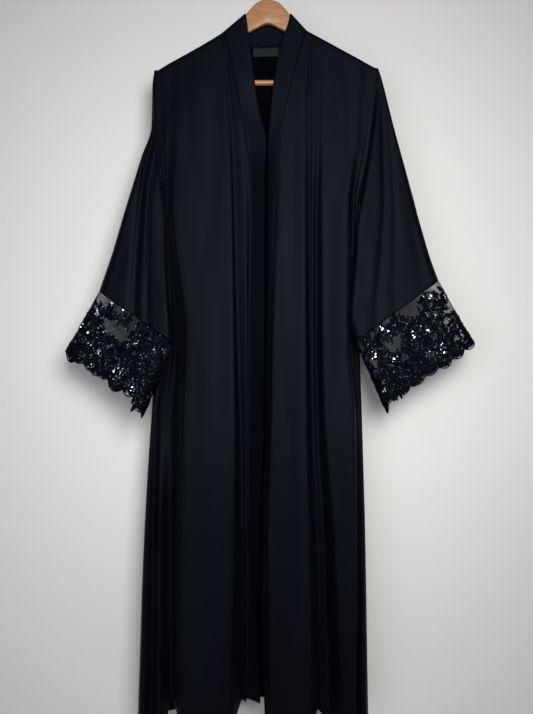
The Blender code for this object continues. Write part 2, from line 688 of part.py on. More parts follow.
def make_sleeves(cloth, lace):
    sleeve_us = stations((10, 4, 8, 4))
    sleeve_vs = [0, 0.5, 1, 1.5, 2, 3, 4, 5, 6]
    cuff_us = [0, 0.5] + [1 + step / 14 for step in range(15)] + [2.5, 3]
    cuff_vs = [0, 0.17, 0.34, 0.51, 0.68, 0.85, 1]
    sides = (
        ("right", -1, RIGHT_SLEEVE, RIGHT_SLEEVE_GROOVES, RIGHT_SIDE_X, RIGHT_CUFF_EDGE, RIGHT_SCALLOPS),
        ("left", 1, LEFT_SLEEVE, LEFT_SLEEVE_GROOVES, LEFT_SIDE_X, LEFT_CUFF_EDGE, LEFT_SCALLOPS),
    )
    for side, away, rings, grooves, side_x, edge, scallops in sides:
        surface = sleeve_surface(rings, grooves, side_x, away)
        make_wall(f"sleeve_{side}", surface, sleeve_us, sleeve_vs, CLOTH_WALL, cloth, ring=True)
        for half in ("front", "back"):
            behind = half == "back"
            lace_form = cuff_surface(rings[-1], edge, grooves, scallops, behind)
            relief = applique_relief(lace_form, rings[-1], edge)
            outside = -away if behind else away
            make_wall(
                f"cuff_{side}_{half}", lace_form, cuff_us, cuff_vs, LACE_WALL, lace,
                relief=relief, outside=outside,
            )


# Hanger


def wood_outline():
    """Half outline of the hanger at -X, from the crown over the arm and back to the notch."""
    crown = [(0, WOOD_TOP_Z), (-13, -72), (-25, -78.5), (-35, -88.5), (-44.5, -100.5)]
    neck = [(-55, -116.5), (-66, -129), (-78, -136.5), (-90, -141.6)]
    arm = [(-214, -210.8)]
    end = [(-221, -221), (-223, -230), (-220, -240), (-212, -247), (-BAR_HALF_LENGTH, -248)]
    under = [(-BAR_HALF_LENGTH, -229), (-186, -221), (-90, -163.5), (0, -118.4)]
    return crown + neck + arm + end + under


def make_wood(material):
    half = wood_outline()
    outline = half + [(-x, z) for x, z in reversed(half[1:-1])]
    mesh = bpy.data.meshes.new("hanger_wood")
    solid = bmesh.new()
    front = [solid.verts.new((x * MM, -WOOD_THICK / 2 * MM, z * MM)) for x, z in outline]
    face = solid.faces.new(front)
    grown = bmesh.ops.extrude_face_region(solid, geom=[face])
    moved = [item for item in grown["geom"] if isinstance(item, bmesh.types.BMVert)]
    bmesh.ops.translate(solid, verts=moved, vec=(0, WOOD_THICK * MM, 0))
    bmesh.ops.recalc_face_normals(solid, faces=solid.faces)
    solid.to_mesh(mesh)
    solid.free()
    mesh.materials.append(material)
    piece = bpy.data.objects.new("hanger_wood", mesh)
    bpy.context.scene.collection.objects.link(piece)
    bevel = piece.modifiers.new("rounded edges", "BEVEL")
    bevel.width = WOOD_EDGE_ROUND * MM
    bevel.segments = 2
    bevel.limit_method = "ANGLE"
    bevel.angle_limit = math.radians(60)
    return piece


def round_tube(name, points, diameter, sides, material):
    curve = bpy.data.curves.new(name, "CURVE")
    curve.dimensions = "3D"
    curve.bevel_depth = diameter / 2 * MM
    curve.bevel_resolution = sides // 2 - 2
    curve.use_fill_caps = True
    line = curve.splines.new("POLY")
    line.points.add(len(points) - 1)
    for spot, (x, y, z) in zip(line.points, points):
        spot.co = (x * MM, y * MM, z * MM, 1)
    curve.materials.append(material)
    piece = bpy.data.objects.new(name, curve)
    bpy.context.scene.collection.objects.link(piece)
    return piece


def hook_path():
    """Stem from the wood, a bend to one side, and the open loop over the rod."""
    radius = HOOK_INSIDE_RADIUS + HOOK_WIRE / 2
    centre_z = -HOOK_INSIDE_RADIUS
    stem_foot = WOOD_TOP_Z + SEAM_GAP
    start, end, steps = math.radians(-48), math.radians(205), 18
    loop = []
    for step in range(steps + 1):
        angle = between(start, end, step / steps)
        loop.append((radius * math.cos(angle), 0, centre_z + radius * math.sin(angle)))
    join_x, _, join_z = loop[0]
    bend = [(0, 0, stem_foot), (0, 0, stem_foot + 7), (1.2, 0, stem_foot + 13)]
    bend.append((join_x * 0.42, 0, between(stem_foot + 13, join_z, 0.5)))
    return bend + loop


def make_hanger(wood, steel):
    make_wood(wood)
    end = BAR_HALF_LENGTH - SEAM_GAP
    round_tube("hanger_bar", [(-end, 0, BAR_Z), (end, 0, BAR_Z)], BAR_DIAMETER, 12, wood)
    round_tube("hanger_hook", hook_path(), HOOK_WIRE, 8, steel)


def clear_scene():
    for item in list(bpy.data.objects):
        bpy.data.objects.remove(item)


def main():
    clear_scene()
    crepe = cloth_material("black crepe", (0.008, 0.009, 0.014), 0.55)
    satin = cloth_material("black satin band", (0.009, 0.011, 0.020), 0.42)
    lace = cloth_material("black beaded lace", (0.006, 0.006, 0.008), 0.45)
    woven = cloth_material("dark woven label", (0.020, 0.024, 0.036), 0.6)
    wood = cloth_material("honey wood", (0.48, 0.27, 0.13), 0.45)
    steel = cloth_material("steel wire", (0.62, 0.62, 0.62), 0.28, 1.0)
    make_body(crepe)
    make_bands(satin)
    make_label(woven)
    make_sleeves(crepe, lace)
    make_hanger(wood, steel)


main()
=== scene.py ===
import math
import random
from collections import namedtuple

import bpy
import numpy as np
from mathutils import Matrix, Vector


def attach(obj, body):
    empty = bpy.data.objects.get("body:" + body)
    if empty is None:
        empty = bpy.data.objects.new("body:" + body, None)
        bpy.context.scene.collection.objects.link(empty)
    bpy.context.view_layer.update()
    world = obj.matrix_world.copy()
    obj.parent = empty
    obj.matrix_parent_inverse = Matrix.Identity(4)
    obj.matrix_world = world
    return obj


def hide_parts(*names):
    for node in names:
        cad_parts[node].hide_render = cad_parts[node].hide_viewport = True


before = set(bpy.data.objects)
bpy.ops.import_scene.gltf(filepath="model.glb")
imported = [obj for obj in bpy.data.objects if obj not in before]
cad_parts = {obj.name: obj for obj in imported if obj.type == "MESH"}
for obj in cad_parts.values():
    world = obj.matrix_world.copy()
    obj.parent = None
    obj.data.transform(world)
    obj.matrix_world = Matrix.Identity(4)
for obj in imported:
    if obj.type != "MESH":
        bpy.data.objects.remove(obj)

# The garment's cloth is laid over the frame's solids with the same fold tables that the solids
# come from, at a finer pitch. Sizes are in millimetres and become metres when a mesh is made.
MM = 0.001
SEED = 11

CLOTH_SHELL = 0.8
BAND_SHELL = 0.9
NET_SHELL = 0.5
LABEL_SHELL = 0.7
CLOTH_WALL = 1.6
LABEL_WALL = 0.8
SEAM_GAP = 0.3
BAND_SEAM_GAP = 0.5
ARMHOLE_GAP = 2.2
LACE_SEAM_GAP = 0.8

# Body of the garment
HEM_Z = -1535.0
HALF_DEPTH_ON_HANGER = 9.5
SHOULDER_ROLL = 6.5
ARMPIT_Z = -489.0
# Heights at which the fold tables give x and y
LEVELS = (-140, -250, -370, -490, -775, -930, -1180, HEM_Z)

# Shoulder line: neck end and sleeve end, wearer's right and left
SHOULDER_RIGHT = ((-89.8, -135.6), (-229.0, -216.5))
SHOULDER_LEFT = ((77.7, -132.0), (226.0, -211.0))
BACK_NECK_DROP_Z = -163.0
# How fast the back neckline falls from the neck points, and the blend to the shoulder roll
NECKLINE_POWER = 1.2
NECKLINE_BLEND = 5.0

# Peaks of the collar, where the front bands meet the back neck band
PEAK_RIGHT = (-46.7, -98.7)
PEAK_LEFT = (47.6, -98.7)
NECK_BAND_SAG = 11.0
NECK_BAND_SAG_POWER = 0.7
# Length over which the back neck band turns from the neck points to the back
NECK_BAND_TURN = 7.0

# Hanger
WOOD_THICK = 13.0
WOOD_EDGE_ROUND = 4.0
BAR_DIAMETER = 11.0
BAR_Z = -239.6
BAR_HALF_LENGTH = 196.0
HOOK_WIRE = 3.6
HOOK_INSIDE_RADIUS = 20.0
WOOD_TOP_Z = -70.0

# Label, sewn inside the back below the neck band
LABEL_X = (-31.0, 24.0)
LABEL_Z = (-166.0, -184.0)
LABEL_TILT = 0.03

Fold = namedtuple("Fold", "name x y")
Ring = namedtuple("Ring", "name upper_x upper_z under_x under_z upper_y under_y half")
Groove = namedtuple("Groove", "name place depth width")
BandSection = namedtuple("BandSection", "seam_x seam_z edge_x edge_z seam_y edge_y turned")
Scallop = namedtuple("Scallop", "start end depth")
BackFold = namedtuple("BackFold", "shoulder_x hem_x hem_y")
Crease = namedtuple("Crease", "from_x from_z to_x to_z bow width height")
HemLift = namedtuple("HemLift", "x outward inward height")
Leaf = namedtuple("Leaf", "w v angle length width")
Patch = namedtuple("Patch", "w v w_reach v_reach")
Cluster = namedtuple("Cluster", "w v count spread")


def table(kind, *rows):
    return [kind(*row) for row in rows]


# Crests and valleys of the wearer's right front, from the band outwards
RIGHT_FRONT = table(Fold,
    ("strip beside the band",
         (-92, -72, -56, -46, -42, -41.5, -43, -45), (-10.4, -12, -15, -19, -26, -30, -34, -38)),
    ("crease by the strip",
         (-96, -79, -71, -68, -61, -56, -51, -50), (-10, -11, -13, -16, -22, -25, -28, -30)),
    ("panel, inner crest",
         (-106, -90, -80, -75, -70, -68, -70, -74), (-10.6, -13, -16, -22, -36, -44, -56, -72)),
    ("panel, outer crest",
         (-174, -172, -180, -190, -161, -166, -170, -168), (-10.6, -13, -16, -22, -37, -46, -60, -76)),
    ("deep valley",
         (-204, -205, -207, -204, -188, -197, -198, -195), (-10, -11, -12.5, -12.5, -12.5, -13, -15, -20)),
    ("round fold",
         (-213, -212.5, -213, -206, -196, -216, -219, -216), (-9.8, -10.5, -11, -9.5, -8.5, -13, -34, -50)),
    ("narrow valley",
         (-219, -218.5, -218, -209, -207, -230, -232, -234), (-9.7, -10, -10.5, -8.5, -7, -9, -18, -26)),
    ("side fold",
         (-225, -223.5, -223, -212, -218, -235, -245, -252), (-9.6, -9.8, -10, -7, -6, -10, -26, -38)),
)
# The same for the wearer's left front
LEFT_FRONT = table(Fold,
    ("panel, inner crest",
         (81, 54, 30, 24, 12, 8, 2, 6), (-10.4, -12, -15, -20, -31, -37, -48, -64)),
    ("panel, outer crest",
         (88, 77, 75, 74, 75, 76, 82, 86), (-10.6, -12.5, -15, -20, -34, -41, -54, -72)),
    ("first crease",
         (92, 84, 84, 84, 87, 90, 97, 104), (-10, -11, -13, -15, -20, -22, -27, -34)),
    ("ridge between creases",
         (97, 92.5, 93, 91, 91, 92, 99, 107), (-10.4, -12, -14.5, -17.5, -21, -22.5, -25, -29)),
    ("second crease",
         (106, 103, 102, 100, 99, 101, 113, 124), (-10, -11, -13, -14, -17, -19, -22, -26)),
    ("side panel, inner crest",
         (120, 115, 113, 111, 112, 116, 138, 152), (-10.6, -12.5, -15, -20, -32, -39, -50, -66)),
    ("side panel, outer crest",
         (190, 184, 174, 162, 160, 172, 174, 170), (-10.6, -12, -14, -17, -28, -40, -52, -68)),
    ("side valley",
         (207, 201, 192, 175, 170, 184, 182, 177), (-9.8, -10.2, -11, -10, -10, -12, -22, -28)),
    ("side fold",
         (216, 210, 200, 181, 181, 189, 192, 192), (-9.6, -9.8, -10, -7.5, -7, -12, -30, -42)),
)
# Armhole above the armpit, side seam below it
RIGHT_SIDE_X = (-230, -229.7, -226.5, -214.5, -229, -239.5, -254, -266)
LEFT_SIDE_X = (226, 221, 207, 187, 189, 193.5, 200, 205.5)
# Hidden folds of the back, wearer's right to left: x on the shoulders and at the hem, hem depth
BACK_FOLDS = table(BackFold,
    (-216, -243, 40), (-192, -206, 17), (-148, -166, 54), (-90.5, -122, 20), (-84, -82, 50),
    (-40, -42, 18), (-4, -2, 46), (34, 36, 18), (72, 74, 52), (78.5, 108, 20), (138, 142, 50),
    (182, 172, 17), (212, 191, 36),
)
BACK_FOLD_GROWTH = 1.15

# Front bands from the neck peak to the hem: the seam with the front, the finished edge,
# and how much of the width is turned under behind the edge
BAND_RIGHT = table(BandSection,
    (-89.4, -135, -46.7, -98.7, -0.2, -0.2, 2),
    (-89.2, -136.4, -46.2, -100, -6.5, -7.2, 2),
    (-88.6, -140.5, -45.2, -104, -10.4, -11.7, 2),
    (-86, -152, -42, -124, -10.8, -11.8, 2),
    (-79.5, -180, -37.5, -163, -11, -11, 2),
    (-71, -219.6, -31, -210, -12, -11.5, 2),
    (-55.5, -295.5, -19.5, -290, -13, -12, 2),
    (-42.6, -369, -3, -367, -14, -12.5, 2),
    (-36, -429, -7, -428, -15, -13, 10),
    (-35.5, -482, -6.8, -482, -16, -13, 14),
    (-37, -587, -6.8, -587, -17, -13, 14),
    (-38.7, -693, -6.4, -693, -17.5, -13, 14),
    (-39, -929, -6.6, -929, -19, -13, 14),
    (-40, -1134, -14, -1134, -19, -13, 14),
    (-41, -1298, -16.5, -1298, -18.5, -13, 14),
    (-42, -1400, -18, -1400, -18, -13, 14),
    (-42.6, HEM_Z, -15.5, HEM_Z, -16, -13, 14),
)
BAND_LEFT = table(BandSection,
    (77.4, -131.4, 47.6, -98.7, -0.2, -0.2, 2),
    (77.2, -132.8, 47, -100, -6.5, -7.2, 2),
    (76.6, -137, 45.8, -104, -10.4, -11.7, 2),
    (73.5, -150, 41, -124, -10.8, -11.8, 2),
    (67, -170.5, 29, -156, -11, -11.3, 2),
    (53, -226, 15.5, -218, -12, -12, 4),
    (35.3, -293.5, 6, -290, -13, -12.5, 8),
    (16.8, -371, 0.8, -371, -14, -13.5, 22),
    (12.7, -445, 0.8, -445, -16, -15.5, 28),
    (8.6, -517, 0.6, -517, -18, -18, 30),
    (5, -600, -0.6, -600, -20, -20, 32),
    (2.6, -693, -2, -693, -22, -22, 34),
    (0.9, -929, -3.6, -929, -28, -28, 34),
    (-6.5, -1134, -11, -1134, -36, -36, 34),
    (-7.8, -1298, -12.2, -1298, -42, -42, 34),
    (-6, -1400, -10.4, -1400, -46, -46, 34),
    (-1.5, HEM_Z, -6, HEM_Z, -52, -52, 34),
)
BAND_FOLD_RADIUS = 1.5
# How far above and below a place the run of its band is measured
BAND_PROBE = 0.5

# Sleeves from the armhole to the lace seam, then the lace edge
RIGHT_SLEEVE = table(Ring,
    ("armhole", -229.6, -214.5, -215.4, -488, 0, 0, 9.5),
    ("shoulder point", -235.5, -240, -214, -508, -1, -17, 9.5),
    ("upper arm", -237.5, -328, -208.5, -538, -3, -23, 9),
    ("arm", -258, -396, -206.6, -587, -8, -27, 12),
    ("elbow", -288.5, -498, -199.5, -675, -13, -32, 15),
    ("forearm", -319, -601, -193, -735, -16, -35, 17),
    ("lace seam", -342, -670, -188.8, -774, -18, -37, 18),
)
LEFT_SLEEVE = table(Ring,
    ("armhole", 226.4, -210, 187.8, -488, 0, 0, 9.5),
    ("shoulder point", 238, -252, 186.5, -508, -1, -17, 9.5),
    ("upper arm", 257, -330, 180.5, -542, -3, -24, 9),
    ("arm", 284, -430, 176, -600, -6, -29, 10),
    ("elbow", 310, -530, 168, -665, -10, -34, 12),
    ("forearm", 330, -601, 162.5, -722, -13, -37, 14),
    ("lace seam", 347, -648, 176, -771, -15, -37, 15),
)
RIGHT_CUFF_EDGE = Ring("lace edge", -408, -797, -243, -903, -21, -44, 20)
LEFT_CUFF_EDGE = Ring("lace edge", 418, -781, 232, -899, -18, -44, 17)
# Troughs along a sleeve: share of the way from upper to under edge at each ring, depth, width
RIGHT_SLEEVE_GROOVES = table(Groove,
    ("outer trough", (0.04, 0.05, 0.08, 0.16, 0.3, 0.41, 0.48), 6, 0.07),
    ("inner crease", (0.3, 0.32, 0.36, 0.42, 0.53, 0.61, 0.66), 3, 0.05),
)
LEFT_SLEEVE_GROOVES = table(Groove,
    ("inner trough", (0.1, 0.14, 0.29, 0.45, 0.58, 0.67, 0.75), 2.4, 0.07),
    ("outer crease", (0.02, 0.04, 0.12, 0.26, 0.38, 0.46, 0.52), 1, 0.05),
)
# The back of a sleeve has the same troughs, but shallower
BACK_TROUGH_SHARE = 0.3
# Points of the lace edge between its notches, upper to under edge
RIGHT_SCALLOPS = table(Scallop,
    (0, 0.11, 7), (0.11, 0.25, 10), (0.25, 0.4, 10), (0.4, 0.55, 9), (0.55, 0.73, 17),
    (0.73, 0.86, 10), (0.86, 1, 22),
)
LEFT_SCALLOPS = table(Scallop,
    (0, 0.13, 9), (0.13, 0.27, 12), (0.27, 0.42, 14), (0.42, 0.56, 10), (0.56, 0.72, 11),
    (0.72, 0.88, 12), (0.88, 1, 8),
)

# Rows of the body panels over the shoulder roll and down the fall, and cells between folds
ROLL_ROWS = 7
FALL_ROWS = 150
BODY_ROWS = np.concatenate([np.linspace(0, 1, ROLL_ROWS)[:-1], 1 + np.linspace(0, 1, FALL_ROWS)])
FOLD_CELLS = 10
# Cells along a sleeve's front, under side, back and upper side, and rows down it
SLEEVE_CELLS = (46, 8, 34, 8)
SLEEVE_ROWS = 91
# Cells round a cuff half's upper edge, across it and round its under edge, and rows down it
NET_CELLS = (6, 90, 6)
NET_ROWS = 49
# Waves and heights of the faint unevenness of hung cloth, and the share of a panel over which it
# fades out by an edge
SLACK_WAVES = 9
FRONT_SLACK = 0.8
BACK_SLACK = 1.2
SLEEVE_SLACK = 0.9
FLAT_EDGE_SHARE = 0.06

# Share of a band's width laid over its seam
BAND_SEAM_LAP = 0.03
# Cells across a band's flat, its fold and its underside, and the column where the fold ends
BAND_CELLS = (12, 8, 6)
BAND_FOLD_COLUMN = BAND_CELLS[0] + BAND_CELLS[1]
# The sleeve's head inside the armhole: how far in, how much of its depth is kept and how far its
# under end drops
ARMHOLE_LAP = 7.0
ARMHOLE_LAP_NARROWING = 0.75
ARMHOLE_LAP_DROP = 14.0
# The back's side edges behind the fronts': how far forward and how far in
SIDE_TUCK = 6.0
SIDE_TUCK_INSET = 1.0
# Share of the neck band laid down over its seam, and how far its last rows lie forward
NECK_BAND_LAP = 0.12
NECK_BAND_LAP_SINK = 1.0
# Columns of the neck band, closer together near its ends, and its rows
NECK_END_SHARE = 0.05
NECK_END_COLUMNS = 12
NECK_COLUMNS = 46
NECK_ROWS = 18
LABEL_GRID = (24, 12)

# How far each band's free edge sinks behind its seam, at heights from the collar to the hem
BAND_SINK = {
    "right": ((-98, 0.0), (-230, 2.0), (-330, 8.0), (-420, 10.5), (-1100, 10.5), (-1540, 10.5)),
    "left": ((-98, 0.0), (-300, 1.0), (-420, 3.0), (-1540, 3.5)),
}

# Soft wrinkles in millimetres: where each starts and ends, how far its middle bows, its width
# and its height, which is below nought where it is a trough
RIGHT_CREASES = table(Crease,
    (-150, -200, -118, -420, 8, 16, 1.3), (-104, -190, -128, -640, -6, 14, -1.1),
    (-186, -230, -150, -560, 10, 18, 1.2), (-120, -700, -104, -1360, 5, 17, 1.6),
    (-138, -1050, -150, -1500, -4, 13, -1.5), (-84, -900, -92, -1510, 4, 11, 1.3),
    (-62, -1260, -54, -1520, 3, 8, -1.2), (-196, -300, -216, -420, 4, 9, 1),
)
LEFT_CREASES = table(Crease,
    (0, -1128, 14, -1246, 5, 6, 1.6), (6, -1150, 24, -1220, 4, 5, -1.2),
    (-6, -1308, 20, -1360, 6, 8, 1.8), (22, -1352, 15, -1436, 5, 8, 1.6),
    (36, -820, 44, -1470, -5, 12, -1.3), (150, -220, 134, -560, -8, 15, 1.2),
    (116, -180, 140, -330, 6, 13, -0.9), (148, -900, 140, -1490, 5, 12, 1.4),
    (60, -300, 44, -700, 4, 13, -0.9), (176, -330, 194, -450, -4, 9, 1),
)
BACK_CREASES = table(Crease,
    (-150, -260, -96, -520, 10, 18, 1.6), (140, -250, 92, -540, -9, 17, 1.5),
    (-30, -320, -44, -900, 6, 15, -1.5), (60, -420, 40, -980, -7, 16, 1.4),
    (-180, -700, -160, -1400, 6, 15, 1.8), (150, -760, 166, -1420, -6, 14, -1.6),
    (10, -1000, -6, -1500, 5, 13, 1.6),
)
RIGHT_SLEEVE_CREASES = table(Crease,
    (-240, -430, -247, -660, 2, 6, 2.6), (-262, -440, -304, -650, -6, 14, -0.7),
    (-226, -520, -214, -700, 4, 10, 0.6),
)
LEFT_SLEEVE_CREASES = table(Crease,
    (286, -440, 316, -640, 5, 14, -0.7), (212, -560, 204, -740, -4, 9, 0.8),
)

# Places where the front hem is caught up: place along the hem, reach either side and height
HEM_LIFTS = table(HemLift,
    (-196, 8, 26, 40), (-52, 16, 62, 44), (100, 10, 14, 26),
)
BACK_HEM_LIFTS = table(HemLift, (-34, 64, 64, 26))
HEM_LIFT_RISE = 150.0

# How far the lace edge rises above its solid, at shares from the upper to the under side
LACE_RISE = ((0.0, 4.0), (0.1, 11.0), (0.7, 10.0), (0.88, 0.0), (1.0, -3.0))

# Soft folds that run on through the lace
RIGHT_CUFF_CREASES = table(Crease,
    (-268, -690, -262, -960, 3, 8, -5), (-254, -700, -240, -960, 3, 9, 2.5),
    (-330, -720, -350, -900, -3, 14, 1.5), (-216, -760, -224, -930, 2, 8, -2),
)
LEFT_CUFF_CREASES = table(Crease,
    (238, -700, 244, -900, -3, 9, -3), (300, -680, 322, -860, 3, 12, 2),
    (206, -740, 214, -930, -2, 9, 1.5), (356, -690, 390, -830, 2, 12, -1.5),
)

# Petals of the lace: places across one and heights there, a corded rim about a lower middle
PETAL_ROWS = 6
PETAL_ACROSS = (-1.0, -0.78, -0.5, 0.5, 0.78, 1.0)
PETAL_RISE = (0.0, 0.8, 0.35, 0.35, 0.8, 0.0)
# Leaves, flowers and sprigs: places across and down a cuff, and their lengths in millimetres
LEAF_GRID = (15, 12)
LEAVES_TOGETHER = 3
LEAF_LENGTH = (10, 15)
HEM_LEAF_GRID = (30, 3)
HEM_LEAF_LENGTH = (7, 10)
FLOWER_GRID = (6, 5)
FLOWER_SIZE = (11, 14.5)
PETAL_COUNTS = (5, 6, 6, 7)
PETAL_SLIMNESS = 0.58
SPRIG_GRID = (7, 6)
SPRIG_LENGTH = (16, 26)
SPRIG_STEPS = 9
# Cords along the lace edge, as places down the cuff and radii, and up its two sides
HEM_CORDS = ((0.995, 1.0), (0.965, 0.6), (0.925, 0.45))
SIDE_CORDS = (0.006, 0.994)
CORD_CORNERS = 5
# Trims: places across and down a cuff, and the shares of sequins and beads among them
TRIM_GRID = (17, 13)
SEQUIN_SHARE = 0.45
BEAD_SHARE = 0.37
SEQUINNED_PETALS = 0.55
HEART_BEADS = 6
HEART_RADIUS = 2.2
BUGLES = 14
BUGLE_SIDES = 6
LOWEST_TRIM = 0.97
SEQUIN_SIDES = 8
SEQUIN_CUP = 0.35
SEQUIN_TILT = 0.36
# Cut stones: width of the flat table and height, both in shares of the radius, and lean
STONE_TABLE = 0.72
STONE_HEIGHT = 0.4
STONE_TILT = 0.13
# The face on which the lace work lies: how far it keeps from the cuff's edges, columns and rows
BED_EDGE = 0.04
BED_COLUMNS = 141
BED_ROWS = 81
TRIM_TINT = (0.55, 0.66, 1.0)
BARE_MARGIN = 4.0

# Leaves that hang free of the lace edge at the under side: place in shares of the cuff, angle,
# then length and width in millimetres
LOOSE_LEAVES = table(Leaf,
    (0.95, 0.93, 1.3, 26, 8), (0.89, 0.92, 1.75, 24, 8), (0.98, 0.86, 1.5, 22, 7),
    (0.83, 0.95, 1.45, 18, 7),
)
# The lowest that they reach, in shares of the cuff
LEAF_DROP = 1.14

# Bare patches of net, in shares across and down a cuff, and groups of bright stones, with their
# number and their spread in millimetres
RIGHT_SHEER = table(Patch,
    (0.1, 0.01, 0.09, 0.1), (0.27, 0.03, 0.09, 0.07), (0.37, 0.31, 0.13, 0.09),
    (0.49, 0.02, 0.04, 0.16), (0.97, 0.15, 0.05, 0.1),
)
LEFT_SHEER = table(Patch,
    (0.37, 0.06, 0.1, 0.17), (0.04, 0.35, 0.07, 0.08), (0.08, 0.01, 0.1, 0.06),
    (0.67, 0.34, 0.08, 0.08), (0.45, 0.9, 0.06, 0.07), (0.3, 0.94, 0.06, 0.06),
    (0.97, 0.02, 0.05, 0.1),
)
RIGHT_CLUSTERS = table(Cluster,
    (0.13, 0.24, 6, 4), (0.22, 0.02, 3, 2), (0.35, 0.01, 2, 1), (0.05, 0.49, 2, 3),
    (0.3, 0.43, 2, 3), (0.32, 0.67, 4, 3), (0.34, 0.91, 3, 4), (0.55, 0.82, 4, 5), (0.6, 0.7, 4, 4),
    (0.79, 0.25, 2, 3), (0.91, 0.14, 4, 3), (0.78, 0.88, 4, 6), (0.64, 0.3, 3, 6),
    (0.15, 0.62, 4, 9),
)
LEFT_CLUSTERS = table(Cluster,
    (0.19, 0.06, 7, 4), (0.28, 0.26, 6, 4), (0.2, 0.3, 4, 4), (0.35, 0.44, 3, 3), (0.15, 0.5, 3, 4),
    (0.71, 0.06, 4, 3), (0.68, 0.11, 3, 3), (0.89, 0.31, 4, 5), (0.74, 0.5, 3, 4),
    (0.45, 0.7, 4, 6), (0.32, 0.76, 4, 5), (0.92, 0.8, 3, 4), (0.48, 0.37, 3, 4),
    (0.2, 0.86, 2, 4),
)

LABEL_RIB = 900.0
SCREW_Z = -112.0
SCREW_RADIUS = 2.6
WOOD_DARK = (0.21, 0.085, 0.032)
WOOD_LIGHT = (0.36, 0.165, 0.070)
# How far the screw's head stands out of the wood, and where its foot lies within it
SCREW_HEAD_STANDS = 0.4
SCREW_FOOT_Y = -5.5
BAR_STEPS = 24
# The hook's loop, as angles from its foot round to its tip
HOOK_START = math.radians(-48)
HOOK_STOP = math.radians(205)
HOOK_STEPS = 18

# The two sides of the garment, as the wearer has them. The cuts are width and length in metres,
# all round a sleeve and of one half of a cuff
Side = namedtuple(
    "Side",
    "name away folds band side_x shoulder creases sleeve grooves sleeve_creases sleeve_cut "
    "edge scallops sheer clusters cuff_creases cuff_cut",
)
SIDES = (
    Side("right", -1, RIGHT_FRONT, BAND_RIGHT, RIGHT_SIDE_X, SHOULDER_RIGHT, RIGHT_CREASES,
         RIGHT_SLEEVE, RIGHT_SLEEVE_GROOVES, RIGHT_SLEEVE_CREASES, (0.40, 0.56),
         RIGHT_CUFF_EDGE, RIGHT_SCALLOPS, RIGHT_SHEER, RIGHT_CLUSTERS, RIGHT_CUFF_CREASES,
         (0.24, 0.18)),
    Side("left", 1, LEFT_FRONT, BAND_LEFT, LEFT_SIDE_X, SHOULDER_LEFT, LEFT_CREASES,
         LEFT_SLEEVE, LEFT_SLEEVE_GROOVES, LEFT_SLEEVE_CREASES, (0.46, 0.56),
         LEFT_CUFF_EDGE, LEFT_SCALLOPS, LEFT_SHEER, LEFT_CLUSTERS, LEFT_CUFF_CREASES,
         (0.27, 0.18)),
)

# Wall and floor, in millimetres
WALL_Y = 95.0
FLOOR_Z = -1620.0
WALL_TOP = 900.0
WALL_HALF_WIDTH = 2600.0
# From here on in metres: the middle of the pool of light painted on the wall, the lights and the camera
WALL_PAINTED_LIGHT_MIDDLE = (0.0, WALL_Y * MM, -0.8)
WORLD_STRENGTH = 0.09
LIGHT_SPREAD = math.radians(95)
# Name, place, target, width, height, power and colour of each light
LIGHTS = (
    ("key", (0.32, -1.95, -0.25), (0.0, 0.0, -0.75), 0.8, 0.8, 14.0, (1.0, 0.985, 0.96)),
    ("fill", (-0.7, -2.0, -0.75), (0.0, 0.0, -0.8), 1.4, 1.8, 5.2, (0.92, 0.96, 1.0)),
    ("back", (0.4, 2.2, -0.3), (0.0, 0.0, -0.8), 1.6, 1.6, 6.0, (1.0, 1.0, 1.0)),
)
# Height of the picture in the plane at PICTURE_Y, the camera's distance from it, and its place
FRAME_HEIGHT = 1.4637
CAMERA_DISTANCE = 1.75
PICTURE_Y = -0.002
CAMERA_X = -0.0027
CAMERA_Z = -0.8023
# Width of the camera's sensor in millimetres
SENSOR_WIDTH = 36.0


def between(start, end, share):
    return start + (end - start) * share


def through(stops, values, at):
    """Smooth values at falling or rising stops, without overshoot between the given ones."""
    stops, values, at = (np.asarray(item, float) for item in (stops, values, at))
    if stops[0] > stops[-1]:
        stops, at = -stops, -at
    at = np.clip(at, stops[0], stops[-1])
    spans = np.diff(stops)
    slopes = np.diff(values) / spans
    before, after = slopes[:-1], slopes[1:]
    same_way = before * after > 0
    total = np.where(same_way, before + after, 1.0)
    inner = np.where(same_way, 2 * before * after / total, 0.0)
    tangents = np.concatenate([slopes[:1], inner, slopes[-1:]])
    leg = np.clip(np.searchsorted(stops, at, side="right") - 1, 0, len(spans) - 1)
    t = (at - stops[leg]) / spans[leg]
    return (
        (2 * t**3 - 3 * t**2 + 1) * values[leg]
        + (t**3 - 2 * t**2 + t) * spans[leg] * tangents[leg]
        + (3 * t**2 - 2 * t**3) * values[leg + 1]
        + (t**3 - t**2) * spans[leg] * tangents[leg + 1]
    )


def ease(share):
    return (1 - np.cos(np.pi * share)) / 2


def stations(cells_per_leg):
    """Even stops along each leg, numbered so that leg i runs from i to i + 1."""
    stops = [0.0]
    for leg, cells in enumerate(cells_per_leg):
        stops += [leg + step / cells for step in range(1, cells + 1)]
    return np.array(stops)


def points_of(x, y, z):
    return np.stack(np.broadcast_arrays(x, y, z), axis=-1).astype(float)


# Body panels


def on_band(sections, field, z):
    """A field of the band sections, at heights of the seam."""
    heights = [section.seam_z for section in sections]
    return through(heights, [getattr(section, field) for section in sections], z)


def rolled_down(top_z, v):
    """Height at v, over the shoulder roll up to 1 and then down to the hem, and the roll's turn."""
    turn = np.pi / 2 * np.minimum(v, 1.0)
    below = SHOULDER_ROLL * (1 - np.cos(turn))
    below = below + (top_z - SHOULDER_ROLL - HEM_Z) * np.maximum(v - 1, 0)
    return top_z - below, turn


